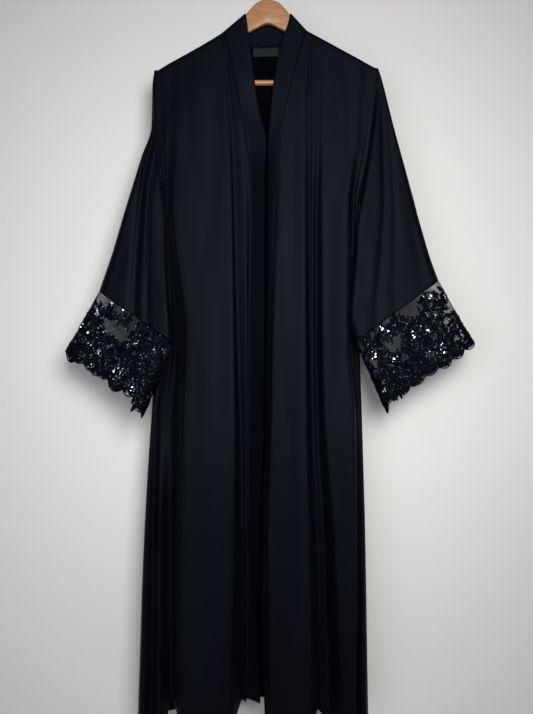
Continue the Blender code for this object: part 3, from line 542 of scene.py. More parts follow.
def side_depth(z):
    """Half depth at the side edge: open at the armhole, closed at the side seam below it."""
    start = ARMPIT_Z + HALF_DEPTH_ON_HANGER
    share = np.clip((start - z) / HALF_DEPTH_ON_HANGER, 0.0, 1.0)
    return np.maximum(SEAM_GAP / 2, HALF_DEPTH_ON_HANGER * np.sqrt(1 - share**2))


def side_edge(side_x, z, away):
    depth = side_depth(z)
    set_in = CLOTH_WALL / 2 * (1 - depth / HALF_DEPTH_ON_HANGER)
    return through(LEVELS, side_x, z) - away * set_in, depth


def across_section(points, u):
    """Point on a section through crests and valleys, its last leg a quarter turn to the side."""
    xs = np.stack(np.broadcast_arrays(*[x for x, _ in points], u)[:-1])
    ys = np.stack(np.broadcast_arrays(*[y for _, y in points], u)[:-1])
    u = np.broadcast_to(u, xs.shape[1:])
    legs = len(points) - 1
    leg = np.clip(np.floor(u).astype(int), 0, legs - 1)
    share = u - leg
    x0, x1 = (np.take_along_axis(xs, (leg + step)[None], 0)[0] for step in (0, 1))
    y0, y1 = (np.take_along_axis(ys, (leg + step)[None], 0)[0] for step in (0, 1))
    turn = np.pi / 2 * share
    last = leg == legs - 1
    x = np.where(last, between(x0, x1, np.sin(turn)), between(x0, x1, share))
    y = np.where(last, y1 + (y0 - y1) * np.cos(turn), between(y0, y1, ease(share)))
    return x, y


def front_surface(folds, sections, side_x, shoulder, away):
    """Surface of a front: u counts the legs between folds, v runs from shoulder to hem."""
    (neck_x, neck_z), (tip_x, tip_z) = shoulder

    def section(z):
        seam = on_band(sections, "seam_x", z)
        edge = (seam + away * BAND_SEAM_GAP, on_band(sections[2:], "seam_y", z))
        crests = [(through(LEVELS, fold.x, z), through(LEVELS, fold.y, z)) for fold in folds]
        x, depth = side_edge(side_x, z, away)
        return [edge] + crests + [(x, -depth)]

    def surface(u, v):
        top_x, _ = across_section(section(neck_z), u)
        start = on_band(sections, "seam_x", neck_z)
        share = np.clip((top_x - start) / (tip_x - start), 0, 1)
        top_z = between(neck_z, tip_z, share) - CLOTH_WALL / 2
        z, turn = rolled_down(top_z, v)
        x, y = across_section(section(z), u)
        seam = -SEAM_GAP / 2
        return points_of(x, seam + (y - seam) * np.sin(turn), z)

    return surface


def back_top_z(x):
    """Top edge of the back: both shoulder lines and the neckline between them."""
    (right_x, right_z), (right_tip_x, right_tip_z) = SHOULDER_RIGHT
    (left_x, left_z), (left_tip_x, left_tip_z) = SHOULDER_LEFT
    on_right = between(right_z, right_tip_z, (x - right_x) / (right_tip_x - right_x))
    on_left = between(left_z, left_tip_z, (x - left_x) / (left_tip_x - left_x))
    share = np.clip((x - right_x) / (left_x - right_x), 0, 1)
    line = between(right_z, left_z, share)
    dip = np.sin(np.pi * share).clip(0) ** NECKLINE_POWER
    neck = line + (BACK_NECK_DROP_Z - line) * dip
    return np.where(x <= right_x, on_right, np.where(x >= left_x, on_left, neck))


def neckline_share(x):
    inside = np.minimum(x - SHOULDER_RIGHT[0][0], SHOULDER_LEFT[0][0] - x)
    return ease(np.clip(inside / NECKLINE_BLEND, 0.0, 1.0))


def back_section(z):
    """Crests and valleys of the back at a height, spread between its side edges."""
    fall = np.clip((LEVELS[0] - z) / (LEVELS[0] - HEM_Z), 0.0, 1.0)
    right, right_depth = side_edge(RIGHT_SIDE_X, z, -1)
    left, left_depth = side_edge(LEFT_SIDE_X, z, 1)
    points = [(right, right_depth)]
    shoulder_width = LEFT_SIDE_X[0] - RIGHT_SIDE_X[0]
    hem_width = LEFT_SIDE_X[-1] - RIGHT_SIDE_X[-1]
    for fold in BACK_FOLDS:
        top_place = (fold.shoulder_x - RIGHT_SIDE_X[0]) / shoulder_width
        hem_place = (fold.hem_x - RIGHT_SIDE_X[-1]) / hem_width
        x = between(right, left, between(top_place, hem_place, fall))
        grown = fall**BACK_FOLD_GROWTH
        points.append((x, HALF_DEPTH_ON_HANGER + (fold.hem_y - HALF_DEPTH_ON_HANGER) * grown))
    return points + [(left, left_depth)]


def back_surface(u, v):
    def on_section(z):
        points = back_section(z)
        first_x, first_y = across_section(points[1::-1], np.clip(1 - u, 0, 1))
        x, y = across_section(points, np.maximum(u, 1))
        return np.where(u <= 1, first_x, x), np.where(u <= 1, first_y, y)

    top_x, _ = on_section(SHOULDER_RIGHT[0][1])
    flat = neckline_share(top_x)
    top_z = back_top_z(top_x) - CLOTH_WALL / 2 * (1 - flat)
    z, turn = rolled_down(top_z, v)
    x, y = on_section(z)
    seam = SEAM_GAP / 2
    rolled = seam + (y - seam) * np.sin(turn)
    return points_of(x, between(rolled, y, flat), z)


# Bands and label


def band_surface(sections, away):
    """Front band: u counts flat part, folded edge and turned-under part, v is the seam's drop."""
    def ends(z):
        seam_x, seam_y, edge_x, edge_y, edge_z, turned = (
            on_band(sections, field, z)
            for field in ("seam_x", "seam_y", "edge_x", "edge_y", "edge_z", "turned")
        )
        return points_of(seam_x, seam_y, z), points_of(edge_x, edge_y, edge_z), turned

    def surface(u, v):
        radius = BAND_FOLD_RADIUS
        u = u[..., None]
        seam, edge, turned = ends(-v)
        above = np.minimum(-v + BAND_PROBE, sections[0].seam_z)
        below = np.maximum(-v - BAND_PROBE, sections[-1].seam_z)
        (low_seam, low_edge, _), (top_seam, top_edge, _) = ends(below), ends(above)
        along = low_seam + low_edge - top_seam - top_edge
        inward = edge - seam
        inward /= np.linalg.norm(inward, axis=-1, keepdims=True)
        back = np.cross(along, inward) * away
        back /= np.linalg.norm(back, axis=-1, keepdims=True)
        fold = edge - inward * radius
        turn = np.pi * np.clip(u - 1, 0, 1)
        flat = between(seam, fold, np.minimum(u, 1))
        folded = fold + inward * radius * np.sin(turn) + back * radius * (1 - np.cos(turn))
        under = fold + back * 2 * radius - inward * turned[..., None] * (u - 2)
        return np.where(u <= 1, flat, np.where(u <= 2, folded, under))

    return surface


def neck_band_surface(u, v):
    """Back of the neck band: u from the wearer's right to left, v from its top to its seam."""
    u = np.asarray(u, float)
    sag = NECK_BAND_SAG * np.sin(np.pi * u).clip(0) ** NECK_BAND_SAG_POWER
    top_x = between(PEAK_RIGHT[0], PEAK_LEFT[0], u)
    top_z = between(PEAK_RIGHT[1], PEAK_LEFT[1], u) - sag
    seam_at_x = between(SHOULDER_RIGHT[0][0], SHOULDER_LEFT[0][0], u)
    lift = BAND_SEAM_GAP + CLOTH_WALL / 2 * (1 - neckline_share(seam_at_x))
    seam_at_z = back_top_z(seam_at_x) + lift
    width = (SHOULDER_LEFT[0][0] - SHOULDER_RIGHT[0][0]) * np.minimum(u, 1 - u)
    turn = np.arccos(1 - np.clip(width / NECK_BAND_TURN, 0.0, 1.0))
    y = BAND_SEAM_GAP / 2 + HALF_DEPTH_ON_HANGER * np.sin(turn)
    return points_of(between(top_x, seam_at_x, v), y, between(top_z, seam_at_z, v))


def label_surface(u, v):
    x = between(*LABEL_X, u)
    z = between(*LABEL_Z, v) + (x - LABEL_X[0]) * LABEL_TILT
    away_from_back = CLOTH_WALL / 2 + SEAM_GAP + LABEL_WALL / 2
    return points_of(x, HALF_DEPTH_ON_HANGER - away_from_back, z)


# Sleeves and lace cuffs


def groove_depth(grooves, w, v):
    """Depth of the troughs at a share w across the sleeve, grown over its first two rings."""
    depth = 0.0
    for groove in grooves:
        place = through(range(len(groove.place)), groove.place, v)
        hollow = np.exp(-(((w - place) / groove.width) ** 2))
        depth = depth + groove.depth * hollow * np.minimum(v / 2, 1.0)
    return depth


def ring_at(rings, v):
    places = range(len(rings))
    return [through(places, [getattr(r, field) for r in rings], v) for field in Ring._fields[1:]]


def on_ring(ring, u, trough):
    """Point on a flattened ring: u counts front, under end, back and upper end."""
    upper_x, upper_z, under_x, under_z, upper_y, under_y, half = ring
    inset = half / np.hypot(under_x - upper_x, under_z - upper_z)
    leg = np.clip(np.floor(u), 0, 3)
    share = u - leg
    turn = np.pi * share
    w = np.select(
        [leg == 0, leg == 1, leg == 2],
        [between(inset, 1 - inset, share), 1 - inset + inset * np.sin(turn),
         between(1 - inset, inset, share)],
        inset - inset * np.sin(turn),
    )
    offset = np.select(
        [leg == 0, leg == 1, leg == 2],
        [-half + 0 * u, -half * np.cos(turn), half + 0 * u],
        half * np.cos(turn),
    )
    centre = between(upper_y, under_y, w)
    trough_share = np.where(offset < 0, 1.0, BACK_TROUGH_SHARE)
    y = centre + offset * (1 - trough_share * trough(w) / half)
    return points_of(between(upper_x, under_x, w), y, between(upper_z, under_z, w))


def sleeve_surface(rings, grooves, side_x, away):
    """Sleeve from the armhole to the lace seam: v counts the rings."""

    def surface(u, v):
        points = on_ring(ring_at(rings, v), u % 4, lambda w: groove_depth(grooves, w, v))
        armhole_x = through(LEVELS, side_x, points[..., 2]) + away * ARMHOLE_GAP
        first = rings[0]
        share = (points[..., 2] - first.upper_z) / (first.under_z - first.upper_z)
        straight_x = between(first.upper_x, first.under_x, share)
        points[..., 0] += (armhole_x - straight_x) * np.maximum(1 - v, 0.0) ** 2
        return points

    return surface


def scallop_reach(scallops, w):
    """How far the lace edge reaches below its notches."""
    reach = 0.0 * w
    for scallop in scallops:
        share = np.clip((w - scallop.start) / (scallop.end - scallop.start), 0, 1)
        reach = np.maximum(reach, scallop.depth * np.sin(np.pi * share).clip(0) ** 0.6)
    return reach


def cuff_surface(seam_ring, edge_ring, grooves, scallops, behind):
    """Half of a lace cuff: u runs across from upper to under edge, v from seam to scallops."""
    seam_values, edge_values = list(seam_ring)[1:], list(edge_ring)[1:]
    runs = [edge - seam for seam, edge in zip(seam_values, edge_values)]
    last = len(grooves[0].place) - 1

    def surface(u, v):
        turn_share = 0.5 * SEAM_GAP / seam_ring.half
        ring = [between(a, b, v) for a, b in zip(seam_values, edge_values)]
        place = np.where(
            u < 1, 3.5 + 0.5 * between(turn_share, 1, np.minimum(u, 1)),
            np.where(u <= 2, u - 1, 1 + 0.5 * (1 - turn_share) * (u - 2)),
        )
        depth_share = BACK_TROUGH_SHARE if behind else 1.0
        points = on_ring(ring, place, lambda w: depth_share * groove_depth(grooves, w, last))
        upper_x, _, under_x, _, upper_y, under_y, _ = ring
        w = (points[..., 0] - upper_x) / (under_x - upper_x)
        if behind:
            points[..., 1] = 2 * between(upper_y, under_y, w) - points[..., 1]
        upper_run_x, upper_run_z, under_run_x, under_run_z = runs[:4]
        down = points_of(between(upper_run_x, under_run_x, w), 0,
                         between(upper_run_z, under_run_z, w))
        down /= np.linalg.norm(down, axis=-1, keepdims=True)
        reach = LACE_SEAM_GAP * (1 - v) + scallop_reach(scallops, 1 - w if behind else w) * v
        return points + down * reach[..., None]

    return surface


# Soft wrinkles laid on the cloth, from one place to another, raised or sunk by a height


def crease_relief(points, creases):
    """Height of the listed wrinkles at each point, as seen from the front or back."""
    x, z = points[..., 0], points[..., 2]
    height = np.zeros(x.shape)
    for crease in creases:
        run_x, run_z = crease.to_x - crease.from_x, crease.to_z - crease.from_z
        length = math.hypot(run_x, run_z)
        along = ((x - crease.from_x) * run_x + (z - crease.from_z) * run_z) / length**2
        off = ((x - crease.from_x) * run_z - (z - crease.from_z) * run_x) / length
        off = off - crease.bow * np.sin(np.pi * np.clip(along, 0, 1))
        fade = np.clip(np.minimum(along, 1 - along) / 0.3 + 0.15, 0, 1)
        height += crease.height * np.exp(-((off / crease.width) ** 2)) * ease(fade)
    return height


def slack(points, amount, seed):
    """Faint unevenness of hung cloth, long down the drop and short across it."""
    rng = random.Random(seed)
    x, z = points[..., 0], points[..., 2]
    height = np.zeros(x.shape)
    for _ in range(SLACK_WAVES):
        across, down = rng.uniform(38, 120), rng.uniform(260, 900)
        lean, phase = rng.uniform(-0.12, 0.12), rng.uniform(0, 2 * math.pi)
        height += np.sin(2 * np.pi * ((x + lean * z) / across + z / down) + phase) / SLACK_WAVES
    return amount * height


def grid_points(surface, us, vs):
    u, v = np.meshgrid(us, vs)
    return surface(u, v)


def grid_normals(points, ring=False):
    """Unit normals of a grid of points from its neighbours, columns along u and rows along v."""
    if ring:
        wrapped = np.concatenate([points[:, -2:-1], points, points[:, 1:2]], axis=1)
        along_u = wrapped[:, 2:] - wrapped[:, :-2]
    else:
        along_u = np.gradient(points, axis=1)
    normals = np.cross(along_u, np.gradient(points, axis=0))
    return normals / np.maximum(np.linalg.norm(normals, axis=-1, keepdims=True), 1e-9)


def metric_uv(points):
    """Distances in metres across and down the cloth, for the weave."""
    across = np.linalg.norm(np.diff(points, axis=1), axis=-1)
    down = np.linalg.norm(np.diff(points, axis=0), axis=-1)
    first_column = np.zeros((points.shape[0], 1))
    first_row = np.zeros((1, points.shape[1]))
    u = np.concatenate([first_column, np.cumsum(across, axis=1)], axis=1)
    v = np.concatenate([first_row, np.cumsum(down, axis=0)], axis=0)
    return np.stack([u, v], axis=-1) * MM


def mesh_object(name, points, faces, material, uv=None):
    mesh = bpy.data.meshes.new(name)
    mesh.from_pydata((np.asarray(points) * MM).tolist(), [], faces)
    if uv is not None:
        layer = mesh.uv_layers.new(name="cloth")
        corners = np.empty(len(mesh.loops), dtype=np.int32)
        mesh.loops.foreach_get("vertex_index", corners)
        layer.data.foreach_set("uv", uv[corners].ravel().astype(np.float32))
    mesh.update()
    mesh.shade_smooth()
    mesh.materials.append(material)
    piece = bpy.data.objects.new(name, mesh)
    bpy.context.scene.collection.objects.link(piece)
    return piece


def shell(name, points, thickness, material, ring=False, matt_shaded_side=None, facing=-1.0):
    """Closed thin shell about a grid of points, with a matt side away from where it faces, whose darker
    colour is painted shade for the garment's inside.
    """
    normals = grid_normals(points, ring)
    uv = metric_uv(points)
    if ring:
        points, normals, uv = points[:, :-1], normals[:, :-1], uv[:, :-1]
    rows, columns = points.shape[:2]
    reach = normals * thickness / 2
    outer = (points + reach).reshape(-1, 3)
    inner = (points - reach).reshape(-1, 3)
    count = len(outer)
    spans = columns if ring else columns - 1
    row, column = np.meshgrid(np.arange(rows - 1), np.arange(spans), indexing="ij")
    a = (row * columns + column).ravel()
    b = (row * columns + (column + 1) % columns).ravel()
    front = np.stack([a, b, b + columns, a + columns], axis=1)
    faces = front.tolist() + (count + front[:, ::-1]).tolist()
    rim = []
    last = (rows - 1) * columns
    for step in range(spans):
        ahead = (step + 1) % columns
        rim += [(step, ahead), (last + ahead, last + step)]
    if not ring:
        for step in range(rows - 1):
            rim.append(((step + 1) * columns, step * columns))
            end = step * columns + columns - 1
            rim.append((end, end + columns))
    faces += [(b, a, a + count, b + count) for a, b in rim]
    flat_uv = uv.reshape(-1, 2)
    made = mesh_object(
        name, np.concatenate([outer, inner]), faces, material, np.concatenate([flat_uv, flat_uv])
    )
    if matt_shaded_side:
        made.data.materials.append(matt_shaded_side)
        first = len(front) if normals[..., 1].mean() * facing > 0 else 0
        sides = np.zeros(len(faces), dtype=np.int32)
        sides[first:first + len(front)] = 1
        made.data.polygons.foreach_set("material_index", sides)
    return made


def surface_area(points):
    """Area in square metres of the sheet that a grid of points spans."""
    a, b = points[:-1, 1:] - points[:-1, :-1], points[1:, :-1] - points[:-1, :-1]
    c, d = points[1:, :-1] - points[1:, 1:], points[:-1, 1:] - points[1:, 1:]
    halves = np.linalg.norm(np.cross(a, b), axis=-1) + np.linalg.norm(np.cross(c, d), axis=-1)
    return float(halves.sum()) / 2 * MM**2


# Materials


def new_look(name, sockets):
    """Material, its node tree and its shader, whose sockets are set directly."""
    material = bpy.data.materials.new(name)
    material.use_nodes = True
    tree = material.node_tree
    shader = tree.nodes["Principled BSDF"]
    for socket, value in sockets.items():
        shader.inputs[socket].default_value = value
    return material, tree, shader


def add_node(tree, kind, sockets, **settings):
    """Node of a kind, each of its sockets set to a value or linked from another node."""
    node = tree.nodes.new("ShaderNode" + kind)
    for setting, value in settings.items():
        setattr(node, setting, value)
    for socket, item in sockets.items():
        if isinstance(item, bpy.types.NodeSocket):
            tree.links.new(item, node.inputs[socket])
        else:
            node.inputs[socket].default_value = item
    return node


def scaled_place(tree, output="Object", scale=(1, 1, 1)):
    """A texture place read in metres, stretched by scale along each axis."""
    place = add_node(tree, "TexCoord", {}).outputs[output]
    return add_node(tree, "Mapping", {"Vector": place, "Scale": scale}).outputs["Vector"]


def noise(tree, place, scale, detail=3.0, roughness=0.5):
    sockets = {"Vector": place, "Scale": scale, "Detail": detail, "Roughness": roughness}
    return add_node(tree, "TexNoise", sockets).outputs["Fac"]


def combined(tree, operation, first, second):
    return add_node(tree, "Math", {0: first, 1: second}, operation=operation).outputs["Value"]


def mixed(tree, first, first_share, second, second_share):
    return combined(tree, "ADD", combined(tree, "MULTIPLY", first, first_share),
                    combined(tree, "MULTIPLY", second, second_share))


def coloured(tree, shader, value, low, high, start=0.3, end=0.7):
    """Base colour that goes from low to high as the value goes from start to end."""
    ramp = add_node(tree, "ValToRGB", {"Fac": value})
    for element, place, colour in zip(ramp.color_ramp.elements, (start, end), (low, high)):
        element.position = place
        element.color = (*colour, 1)
    tree.links.new(ramp.outputs["Color"], shader.inputs["Base Color"])


def roughened(tree, shader, value, low, high):
    node = add_node(tree, "MapRange", {"Value": value, "To Min": low, "To Max": high})
    tree.links.new(node.outputs["Result"], shader.inputs["Roughness"])


def bumped(tree, shader, height, strength, distance):
    sockets = {"Height": height, "Strength": strength, "Distance": distance}
    bump = add_node(tree, "Bump", sockets)
    tree.links.new(bump.outputs["Normal"], shader.inputs["Normal"])


def cloth_look(name, low, high, roughness, specular, sheen, tint, grain, strength):
    """Woven cloth with a fine pebbled grain of a pitch in metres, laid along the cloth."""
    material, tree, shader = new_look(name, {
        "Specular IOR Level": specular, "Specular Tint": (*tint, 1),
        "Sheen Weight": sheen, "Sheen Roughness": 0.45, "Sheen Tint": (*tint, 1),
    })
    shade = noise(tree, scaled_place(tree, "Object", (1, 1, 0.3)), 9.0)
    coloured(tree, shader, shade, low, high)
    roughened(tree, shader, shade, roughness - 0.04, roughness + 0.04)
    weave = noise(tree, scaled_place(tree, "UV"), 1 / grain, 2.0)
    bumped(tree, shader, weave, strength, 0.0002)
    return material


def thread_look(name, colour, roughness, specular, tint):
    """Thick embroidery thread, with a fine cord pattern."""
    material, tree, shader = new_look(name, {
        "Roughness": roughness, "Specular IOR Level": specular, "Specular Tint": (*tint, 1),
    })
    shade = noise(tree, scaled_place(tree), 700.0, 2.0)
    coloured(tree, shader, shade, [part * 0.5 for part in colour], colour)
    bumped(tree, shader, shade, 0.5, 0.0004)
    return material


def net_look(name, colour, pitch, thread):
    """Sheer net: holes of a pitch in metres between threads, seen as an even dark film."""
    material, tree, shader = new_look(name, {"Roughness": 0.7, "Specular IOR Level": 0.03})
    place = scaled_place(tree, "UV", (1 / pitch, 1 / pitch, 1))
    cells = add_node(tree, "TexVoronoi", {}, voronoi_dimensions="2D", feature="DISTANCE_TO_EDGE")
    cells.inputs["Scale"].default_value = 1.0
    cells.inputs["Randomness"].default_value = 0.15
    tree.links.new(place, cells.inputs["Vector"])
    solid = combined(tree, "LESS_THAN", cells.outputs["Distance"], thread / pitch)
    tree.links.new(solid, shader.inputs["Alpha"])
    coloured(tree, shader, noise(tree, place, 3.0, 1.0), [part * 0.7 for part in colour], colour)
    return material


def gloss_look(name, low, high, roughness, metallic=0.0):
    """Faceted trim such as sequins and beads, each a little different in shade."""
    material, tree, shader = new_look(name, {
        "Roughness": roughness, "Metallic": metallic, "Specular IOR Level": 0.5,
        "Specular Tint": (*TRIM_TINT, 1),
    })
    coloured(tree, shader, noise(tree, scaled_place(tree), 160.0, 1.0), low, high)
    return material


def wood_look(name, grain_scale):
    """Honey wood under satin lacquer, its grain stretched along the hanger."""
    material, tree, shader = new_look(name, {"Coat Weight": 0.12, "Coat Roughness": 0.25})
    place = scaled_place(tree, "Object", grain_scale)
    rings = noise(tree, place, 1.0, 6.0, 0.62)
    fine = noise(tree, place, 5.0, 3.0, 0.6)
    coloured(tree, shader, mixed(tree, rings, 0.75, fine, 0.25), WOOD_DARK, WOOD_LIGHT, 0.36, 0.62)
    roughened(tree, shader, fine, 0.34, 0.5)
    bumped(tree, shader, fine, 0.2, 0.0004)
    return material


def steel_look():
    material, tree, shader = new_look("steel_wire", {"Metallic": 1.0})
    drawn = noise(tree, scaled_place(tree), 400.0, 2.0)
    coloured(tree, shader, drawn, (0.42, 0.42, 0.43), (0.58, 0.58, 0.60))
    roughened(tree, shader, drawn, 0.22, 0.34)
    return material


def label_look():
    """Dark woven ribbon with a fine rib, left bare."""
    material, tree, shader = new_look("label_ribbon", {
        "Roughness": 0.55, "Specular IOR Level": 0.12,
    })
    sockets = {"Vector": scaled_place(tree, "UV"), "Scale": LABEL_RIB, "Distortion": 0.0}
    rib = add_node(tree, "TexWave", sockets, bands_direction="Y").outputs["Fac"]
    coloured(tree, shader, rib, (0.004, 0.006, 0.011), (0.009, 0.012, 0.020))
    bumped(tree, shader, rib, 0.4, 0.0002)
    return material


def stage_look(name, low, high, one_sided_with_painted_falloff):
    """Pale matt surface. A one-sided one has a painted pool of light, paler in its middle and darker
    towards its edges as painted shade, and can't be seen from behind.
    """
    material, tree, shader = new_look(name, {"Roughness": 0.9, "Specular IOR Level": 0.1})
    place = scaled_place(tree)
    shade = noise(tree, place, 1.6)
    if one_sided_with_painted_falloff:
        # Painted light falloff: the colour darkens with distance from the middle of the painted pool of
        # light, standing in for the lamps' fall-off toward the wall's corners
        away = add_node(tree, "VectorMath", {0: place, 1: WALL_PAINTED_LIGHT_MIDDLE}, operation="DISTANCE")
        shade = mixed(tree, shade, 0.2, away.outputs["Value"], 0.6)
        side = add_node(tree, "NewGeometry", {}).outputs["Backfacing"]
        tree.links.new(combined(tree, "SUBTRACT", 1.0, side), shader.inputs["Alpha"])
    coloured(tree, shader, shade, low, high)
    return material


# Lace: net, applique flowers and leaves, corded edge, sequins, beads and bugles


class LaceBed:
    """The face of a cuff half on which the lace work lies, with places in shares of its size."""

    def __init__(self, surface, facing):
        trial = np.concatenate([np.linspace(BED_EDGE, 1, 25)[:-1], np.linspace(1, 2, 101)[:-1],
                                np.linspace(2, 3 - BED_EDGE, 25)])
        middle = grid_points(surface, trial, np.array([0.5]))[0]
        run = np.concatenate([[0], np.cumsum(np.linalg.norm(np.diff(middle, axis=0), axis=-1))])
        even = np.interp(np.linspace(0, run[-1], BED_COLUMNS), run, trial)
        self.grid = grid_points(surface, even, np.linspace(0, 1, BED_ROWS))
        normals = grid_normals(self.grid)
        row, column = BED_ROWS // 2, BED_COLUMNS // 2
        self.normals = normals if normals[row, column, 1] * facing > 0 else -normals
        self.width = np.linalg.norm(np.diff(self.grid[row], axis=0), axis=-1).sum()
        self.height = np.linalg.norm(np.diff(self.grid[:, column], axis=0), axis=-1).sum()

    def at(self, w, v, lift, drop=1.0):
        """Points at shares w across and v down the cuff, raised by lift, no lower than a drop."""
        x = np.clip(w, 0, 1) * (BED_COLUMNS - 1)
        y = np.clip(v, 0, drop) * (BED_ROWS - 1)
        column = np.clip(np.floor(x).astype(int), 0, BED_COLUMNS - 2)
        row = np.clip(np.floor(y).astype(int), 0, BED_ROWS - 2)
        fx, fy = (x - column)[..., None], (y - row)[..., None]

        def blended(field):
            upper = between(field[row, column], field[row, column + 1], fx)
            lower = between(field[row + 1, column], field[row + 1, column + 1], fx)
            return between(upper, lower, fy)

        return blended(self.grid) + blended(self.normals) * np.asarray(lift, float)[..., None]

    def turned(self, place, angle, along, across, lift, drop=1.0):
        """Points along and across a direction from a place, in millimetres."""
        a = along * math.cos(angle) - across * math.sin(angle)
        b = along * math.sin(angle) + across * math.cos(angle)
        return self.at(place[0] + a / self.width, place[1] + b / self.height, lift, drop)

    def stepped(self, place, angle, reach):
        """The place that lies so many millimetres away from another one."""
        return (place[0] + reach * math.cos(angle) / self.width,
                place[1] + reach * math.sin(angle) / self.height)


class Heap:
    """Points and faces of many small parts that become one mesh."""

    def __init__(self):
        self.points, self.faces, self.count = [], [], 0

    def add(self, points, faces):
        points = np.asarray(points, float).reshape(-1, 3)
        self.points.append(points)
        self.faces += [tuple(corner + self.count for corner in face) for face in faces]
        self.count += len(points)

    def add_grid(self, points):
        rows, columns = points.shape[:2]
        starts = [row * columns + column for row in range(rows - 1) for column in range(columns - 1)]
        self.add(points, [(a, a + 1, a + 1 + columns, a + columns) for a in starts])

    def piece(self, name, look, smooth=True):
        made = mesh_object(name, np.concatenate(self.points), self.faces, LOOKS[look])
        if not smooth:
            made.data.shade_flat()
        on_body(made, None)
        return made


def add_petal(heap, bed, place, angle, length, width, lift, start=0.0, drop=1.0):
    """Corded petal or leaf: a raised rim about a lower middle."""
    s = np.linspace(0, 1, PETAL_ROWS)[:, None]
    t, rise = np.array(PETAL_ACROSS)[None, :], np.array(PETAL_RISE)[None, :]
    outline = np.sin(np.pi * s**0.85).clip(0) ** 0.62 * (1 - 0.18 * s)
    swell = 0.35 + 0.65 * np.sin(np.pi * s).clip(0) ** 0.5
    along, across = start + length * s + 0 * t, width / 2 * outline * t
    heap.add_grid(bed.turned(place, angle, along, across, lift + rise * swell, drop))


def add_cord(heap, bed, places, radius, lift):
    """Cord along places on the cuff, as a half round ridge."""
    places = np.asarray(places, float)
    line = bed.at(places[:, 0], places[:, 1], np.full(len(places), lift))
    up = bed.at(places[:, 0], places[:, 1], np.full(len(places), lift + 1.0)) - line
    across = np.cross(np.gradient(line, axis=0), up)
    across /= np.maximum(np.linalg.norm(across, axis=1, keepdims=True), 1e-9)
    angles = np.linspace(0, math.pi, CORD_CORNERS)
    rings = [line + radius * (across * math.cos(angle) + up * math.sin(angle)) for angle in angles]
    heap.add_grid(np.stack(rings, axis=1))


def leaning_rings(bed, place, radius, lift, rng, tilt, rings):
    """Rings of a round trim that leans a little its own way, and the way it is turned."""
    turn, lean = rng.uniform(0, 2 * math.pi), rng.gauss(0, tilt)
    angles = np.arange(SEQUIN_SIDES) * 2 * math.pi / SEQUIN_SIDES
    made = []
    for share, rise in rings:
        along, across = share * radius * np.cos(angles), share * radius * np.sin(angles)
        made.append(bed.turned(place, turn, along, across, lift + rise + math.tan(lean) * along))
    return made, turn


def add_sequin(heap, bed, place, radius, lift, rng):
    """Cupped round sequin."""
    rings, turn = leaning_rings(bed, place, radius, lift, rng, SEQUIN_TILT, ((1.0, SEQUIN_CUP),))
    centre = bed.turned(place, turn, np.zeros(1), np.zeros(1), np.array([lift]))
    faces = [(side, (side + 1) % SEQUIN_SIDES, SEQUIN_SIDES) for side in range(SEQUIN_SIDES)]
    heap.add(np.concatenate(rings + [centre]), faces)


def add_stone(heap, bed, place, radius, lift, rng):
    """Cut stone with a flat table and sloping sides."""
    table_ring = (STONE_TABLE, STONE_HEIGHT * radius)
    rings, _ = leaning_rings(bed, place, radius, lift, rng, STONE_TILT, ((1.0, 0.0), table_ring))
    faces = bar_faces(2, SEQUIN_SIDES)
    heap.add(np.concatenate(rings), faces[:-2] + faces[-1:])


def ball(radius, sides=6):
    """Points and faces of a small faceted ball with three rings of corners."""
    points, faces = [(0, 0, radius)], []
    for ring in (1, 2, 3):
        polar = math.pi * ring / 4
        for side in range(sides):
            angle = 2 * math.pi * side / sides
            points.append((radius * math.sin(polar) * math.cos(angle),
                           radius * math.sin(polar) * math.sin(angle), radius * math.cos(polar)))
    tip = len(points)
    points.append((0, 0, -radius))
    for side in range(sides):
        ahead = (side + 1) % sides
        faces.append((0, 1 + side, 1 + ahead))
        for start in (1, 1 + sides):
            a, b = start + side, start + ahead
            faces.append((a, a + sides, b + sides, b))
        faces.append((tip, tip - sides + ahead, tip - sides + side))
    return np.array(points), faces


def add_bead(heap, bed, place, radius, lift):
    points, faces = ball(radius)
    centre = bed.at(np.array([place[0]]), np.array([place[1]]), np.array([lift + radius]))
    heap.add(points + centre, faces)


def ring_points(centre, across, other, radius, sides):
    """Points once round a centre, in the plane of two directions."""
    turns = [2 * math.pi * side / sides for side in range(sides)]
    return [centre + (across * math.cos(turn) + other * math.sin(turn)) * radius for turn in turns]


def bar_faces(rings, sides):
    """Faces round a bar made of rings of points, and then its two flat ends."""
    faces = []
    last = (rings - 1) * sides
    for start in range(0, last, sides):
        for side in range(sides):
            a, b = start + side, start + (side + 1) % sides
            faces.append((a, b, b + sides, a + sides))
    return faces + [tuple(reversed(range(sides))), tuple(range(last, last + sides))]


def add_bugle(heap, bed, place, angle, length, radius, lift):
    """Small glass tube lying on the cuff."""
    ends = bed.turned(place, angle, np.array([-length / 2, length / 2]), np.zeros(2),
                      np.full(2, lift + radius))
    along = Vector(ends[1] - ends[0]).normalized()
    across = along.orthogonal().normalized()
    other = along.cross(across)
    points = []
    for end in ends:
        points += ring_points(Vector(end), across, other, radius, BUGLE_SIDES)
    heap.add(points, bar_faces(2, BUGLE_SIDES))


def in_sheer(bed, patches, w, v, margin=0.0):
    """Whether a place lies in a bare patch of net, or within a margin of it."""
    across, down = margin / bed.width, margin / bed.height
    return any(((w - p.w) / (p.w_reach + across)) ** 2 + ((v - p.v) / (p.v_reach + down)) ** 2 < 1
               for p in patches)


def jittered(rng, across, down, spread):
    """Places spread evenly over a cuff, each moved a little."""
    for row in range(down):
        for column in range(across):
            w = (column + 0.25 + (row % 2) * 0.5) / across
            v = (row + 0.5) / down
            yield w + rng.uniform(-spread, spread) / across, v + rng.uniform(-spread, spread) / down


